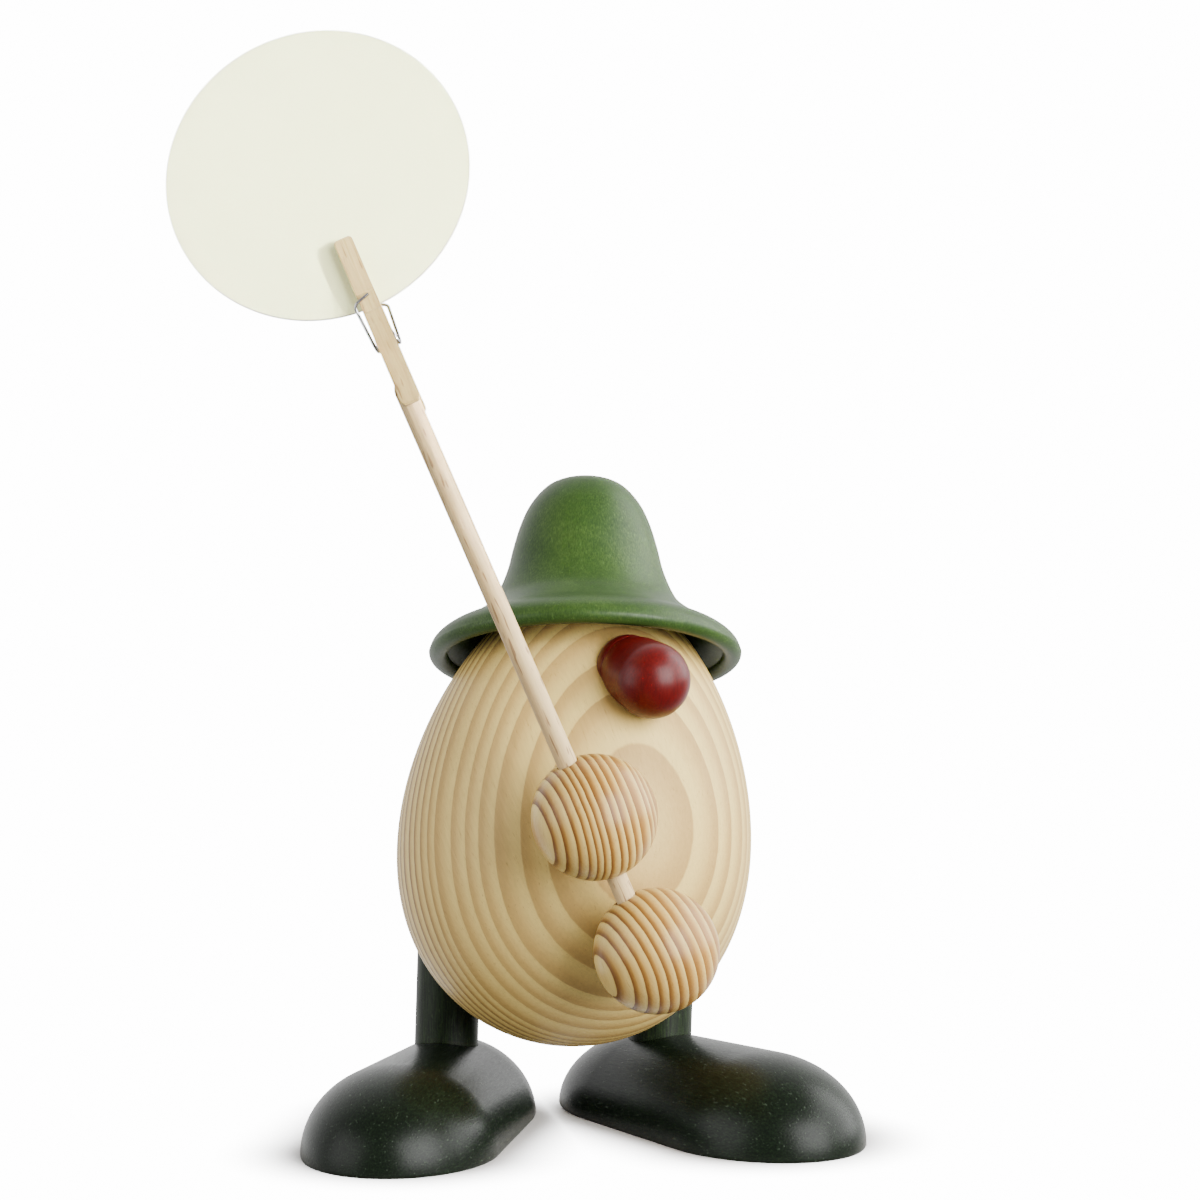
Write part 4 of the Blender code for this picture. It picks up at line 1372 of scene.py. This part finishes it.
@dataclass
class Studio:
    """Floor with a painted shade patch round the shoes, soft lights and the camera.

    The surroundings are white: dim in front of the figurine, brighter behind, clear white where the camera sees
    them. Front, back and seen are those strengths; rise is where along behind the first turns to the second.
    """

    target: TRIPLE = (0.02490, 0.01214, 0.14125)
    camera: TRIPLE = (-0.19116, -1.21321, 0.26106)
    lens: float = 142.5
    sensor: float = 36.0
    nearest: float = 0.05
    floor_reach: float = 6.0
    floor_colour: COLOUR = (0.55, 0.53, 0.51)
    # Reaches from the shoes over which the painted shade patch of grey floor fades out
    shade_patch_fade: tuple[float, float] = (0.025, 0.050)
    front: float = 0.36
    back: float = 2.0
    seen: float = 15.0
    behind: TRIPLE = (0.0, 1.0, 0.05)
    rise: tuple[float, float] = (-0.05, 0.85)
    lights: tuple[Softbox, ...] = (
        Softbox("key_softbox", (0.78, -1.10, 0.60), FIGURE_MIDDLE, 1.2, 80.0),
        Softbox("fill_softbox", (-1.30, -0.35, 0.45), FIGURE_MIDDLE, 1.2, 18.0),
        Softbox("side_softbox", (1.35, 0.10, 0.80), FIGURE_MIDDLE, 1.5, 58.0),
        Softbox("card_softbox", (0.90, -0.90, 0.60), CARD_MIDDLE, 0.20, 0.65, 8.0))

    def surround(self) -> None:
        """Set up the white surroundings."""
        world = bpy.data.worlds.new("studio")
        world.use_nodes = True
        tree = world.node_tree
        way = step(tree, "ShaderNodeTexCoord", {}, {})
        facing = step(tree, "ShaderNodeVectorMath", {"operation": "DOT_PRODUCT"},
                      {0: way.outputs["Generated"], 1: self.behind})
        soft = step(tree, "ShaderNodeMapRange", {"interpolation_type": "SMOOTHSTEP"},
                    {"Value": facing.outputs["Value"], "From Min": self.rise[0], "From Max": self.rise[1],
                     "To Min": self.front, "To Max": self.back})
        ray = step(tree, "ShaderNodeLightPath", {}, {})
        strength = step(tree, "ShaderNodeMapRange", {},
                        {"Value": ray.outputs["Is Camera Ray"], "To Min": soft.outputs[0], "To Max": self.seen})
        surface = tree.nodes["Background"]
        surface.inputs[0].default_value = (1.0, 1.0, 1.0, 1.0)
        tree.links.new(strength.outputs[0], surface.inputs[1])
        bpy.context.scene.world = world

    def build(self, legs: Sequence[Leg]) -> None:
        """Set up the floor under the legs, the surroundings, the lights and the camera."""
        far = self.floor_reach
        mesh = bpy.data.meshes.new("studio_floor")
        mesh.from_pydata([(-far, -far, 0.0), (far, -far, 0.0), (far, far, 0.0), (-far, far, 0.0)], [],
                         [(0, 1, 2, 3)])
        shoes = tuple((leg.place(), leg.toe_way(), leg.toe[0]) for leg in legs)
        mesh.materials.append(ShoeShadeFloor("studio_floor", self.floor_colour, shoes, self.shade_patch_fade).make())
        link("studio_floor", mesh)
        self.surround()
        for light in self.lights:
            light.hang()
        lens = bpy.data.cameras.new("photo_camera")
        lens.lens = self.lens
        lens.sensor_width = self.sensor
        lens.clip_start = self.nearest
        bpy.context.scene.camera = aimed("photo_camera", lens, self.camera, self.target)


def main() -> None:
    """Build and dress the figurine and set up the studio."""
    logging.basicConfig(level=logging.INFO, format="%(message)s")
    egg = Egg()
    upper = Hand(egg, "upper", -0.036, math.radians(-6.4), (0.2396, 0.0203, 0.0683), (0.27, 0.0, -0.963),
                 (-0.0170, -0.0136, -0.0120, -0.0104, -0.0073, -0.0050, -0.0027, -0.0006, 0.00195, 0.0038,
                  0.00545, 0.0073, 0.00945, 0.01185, 0.0138, 0.0170), (0.66, -0.20, 0.72))
    lower = Hand(egg, "lower", -0.4575, math.radians(12.25), (0.2285, 0.0430, 0.0919), (0.373, 0.0, -0.928),
                 (-0.0175, -0.0146, -0.0117, -0.0088, -0.0058, -0.0029, 0.00005, 0.0026, 0.0050, 0.0074, 0.0099,
                  0.0123, 0.01495, 0.0175), (0.95, -0.20, 0.10))
    legs = [Leg(egg, "left", 1.0, 0.0297, math.radians(25.0)),
            Leg(egg, "right", -1.0, 0.0286, math.radians(23.5))]
    stick = Stick(upper, lower)
    peg = Peg(stick)
    card = Card(peg)
    hat = Hat(egg)
    nose = Nose(egg)

    egg.dress(egg.build([leg.bore(leg.side + "_leg_hole", 0.0, leg.top() + SNUG) for leg in legs]))
    hat.dress(hat.build())
    nose.dress(nose.build())
    for hand in (upper, lower):
        hand.dress(hand.build(stick.bore(hand.side + "_hole")))
    for leg in legs:
        leg.dress(leg.build_leg(), leg.build_shoe())
    stick.dress(stick.build(stick.reach + (peg.length - peg.taper_start) * 1.2, peg.wedge()))
    peg.dress(peg.build_arm("front_arm", 1.0), peg.build_arm("rear_arm", -1.0))
    coil, rear_leg = peg.build_spring(BrightWire("spring_wire").make())
    settle_in(coil, "holder", "spring_wire", "peg_spring")
    settle_in(rear_leg, "press_arm", "spring_wire")
    card.dress(card.build())

    made = BeechWood("dowel_beech", (0.0, 0.0, 1.0), (0.47, 0.36, 0.26), (0.37, 0.26, 0.175),
                     (0.16, 0.085, 0.045)).make()
    for node in ("hat_dowel", "nose_dowel", "upper_hand_dowel", "lower_hand_dowel"):
        for slot in frame["nodes"][node].material_slots:
            slot.material = made
        LOG.info("%s keeps its own solid", node)
    Studio().build(legs)


if __name__ == "__main__":
    main()
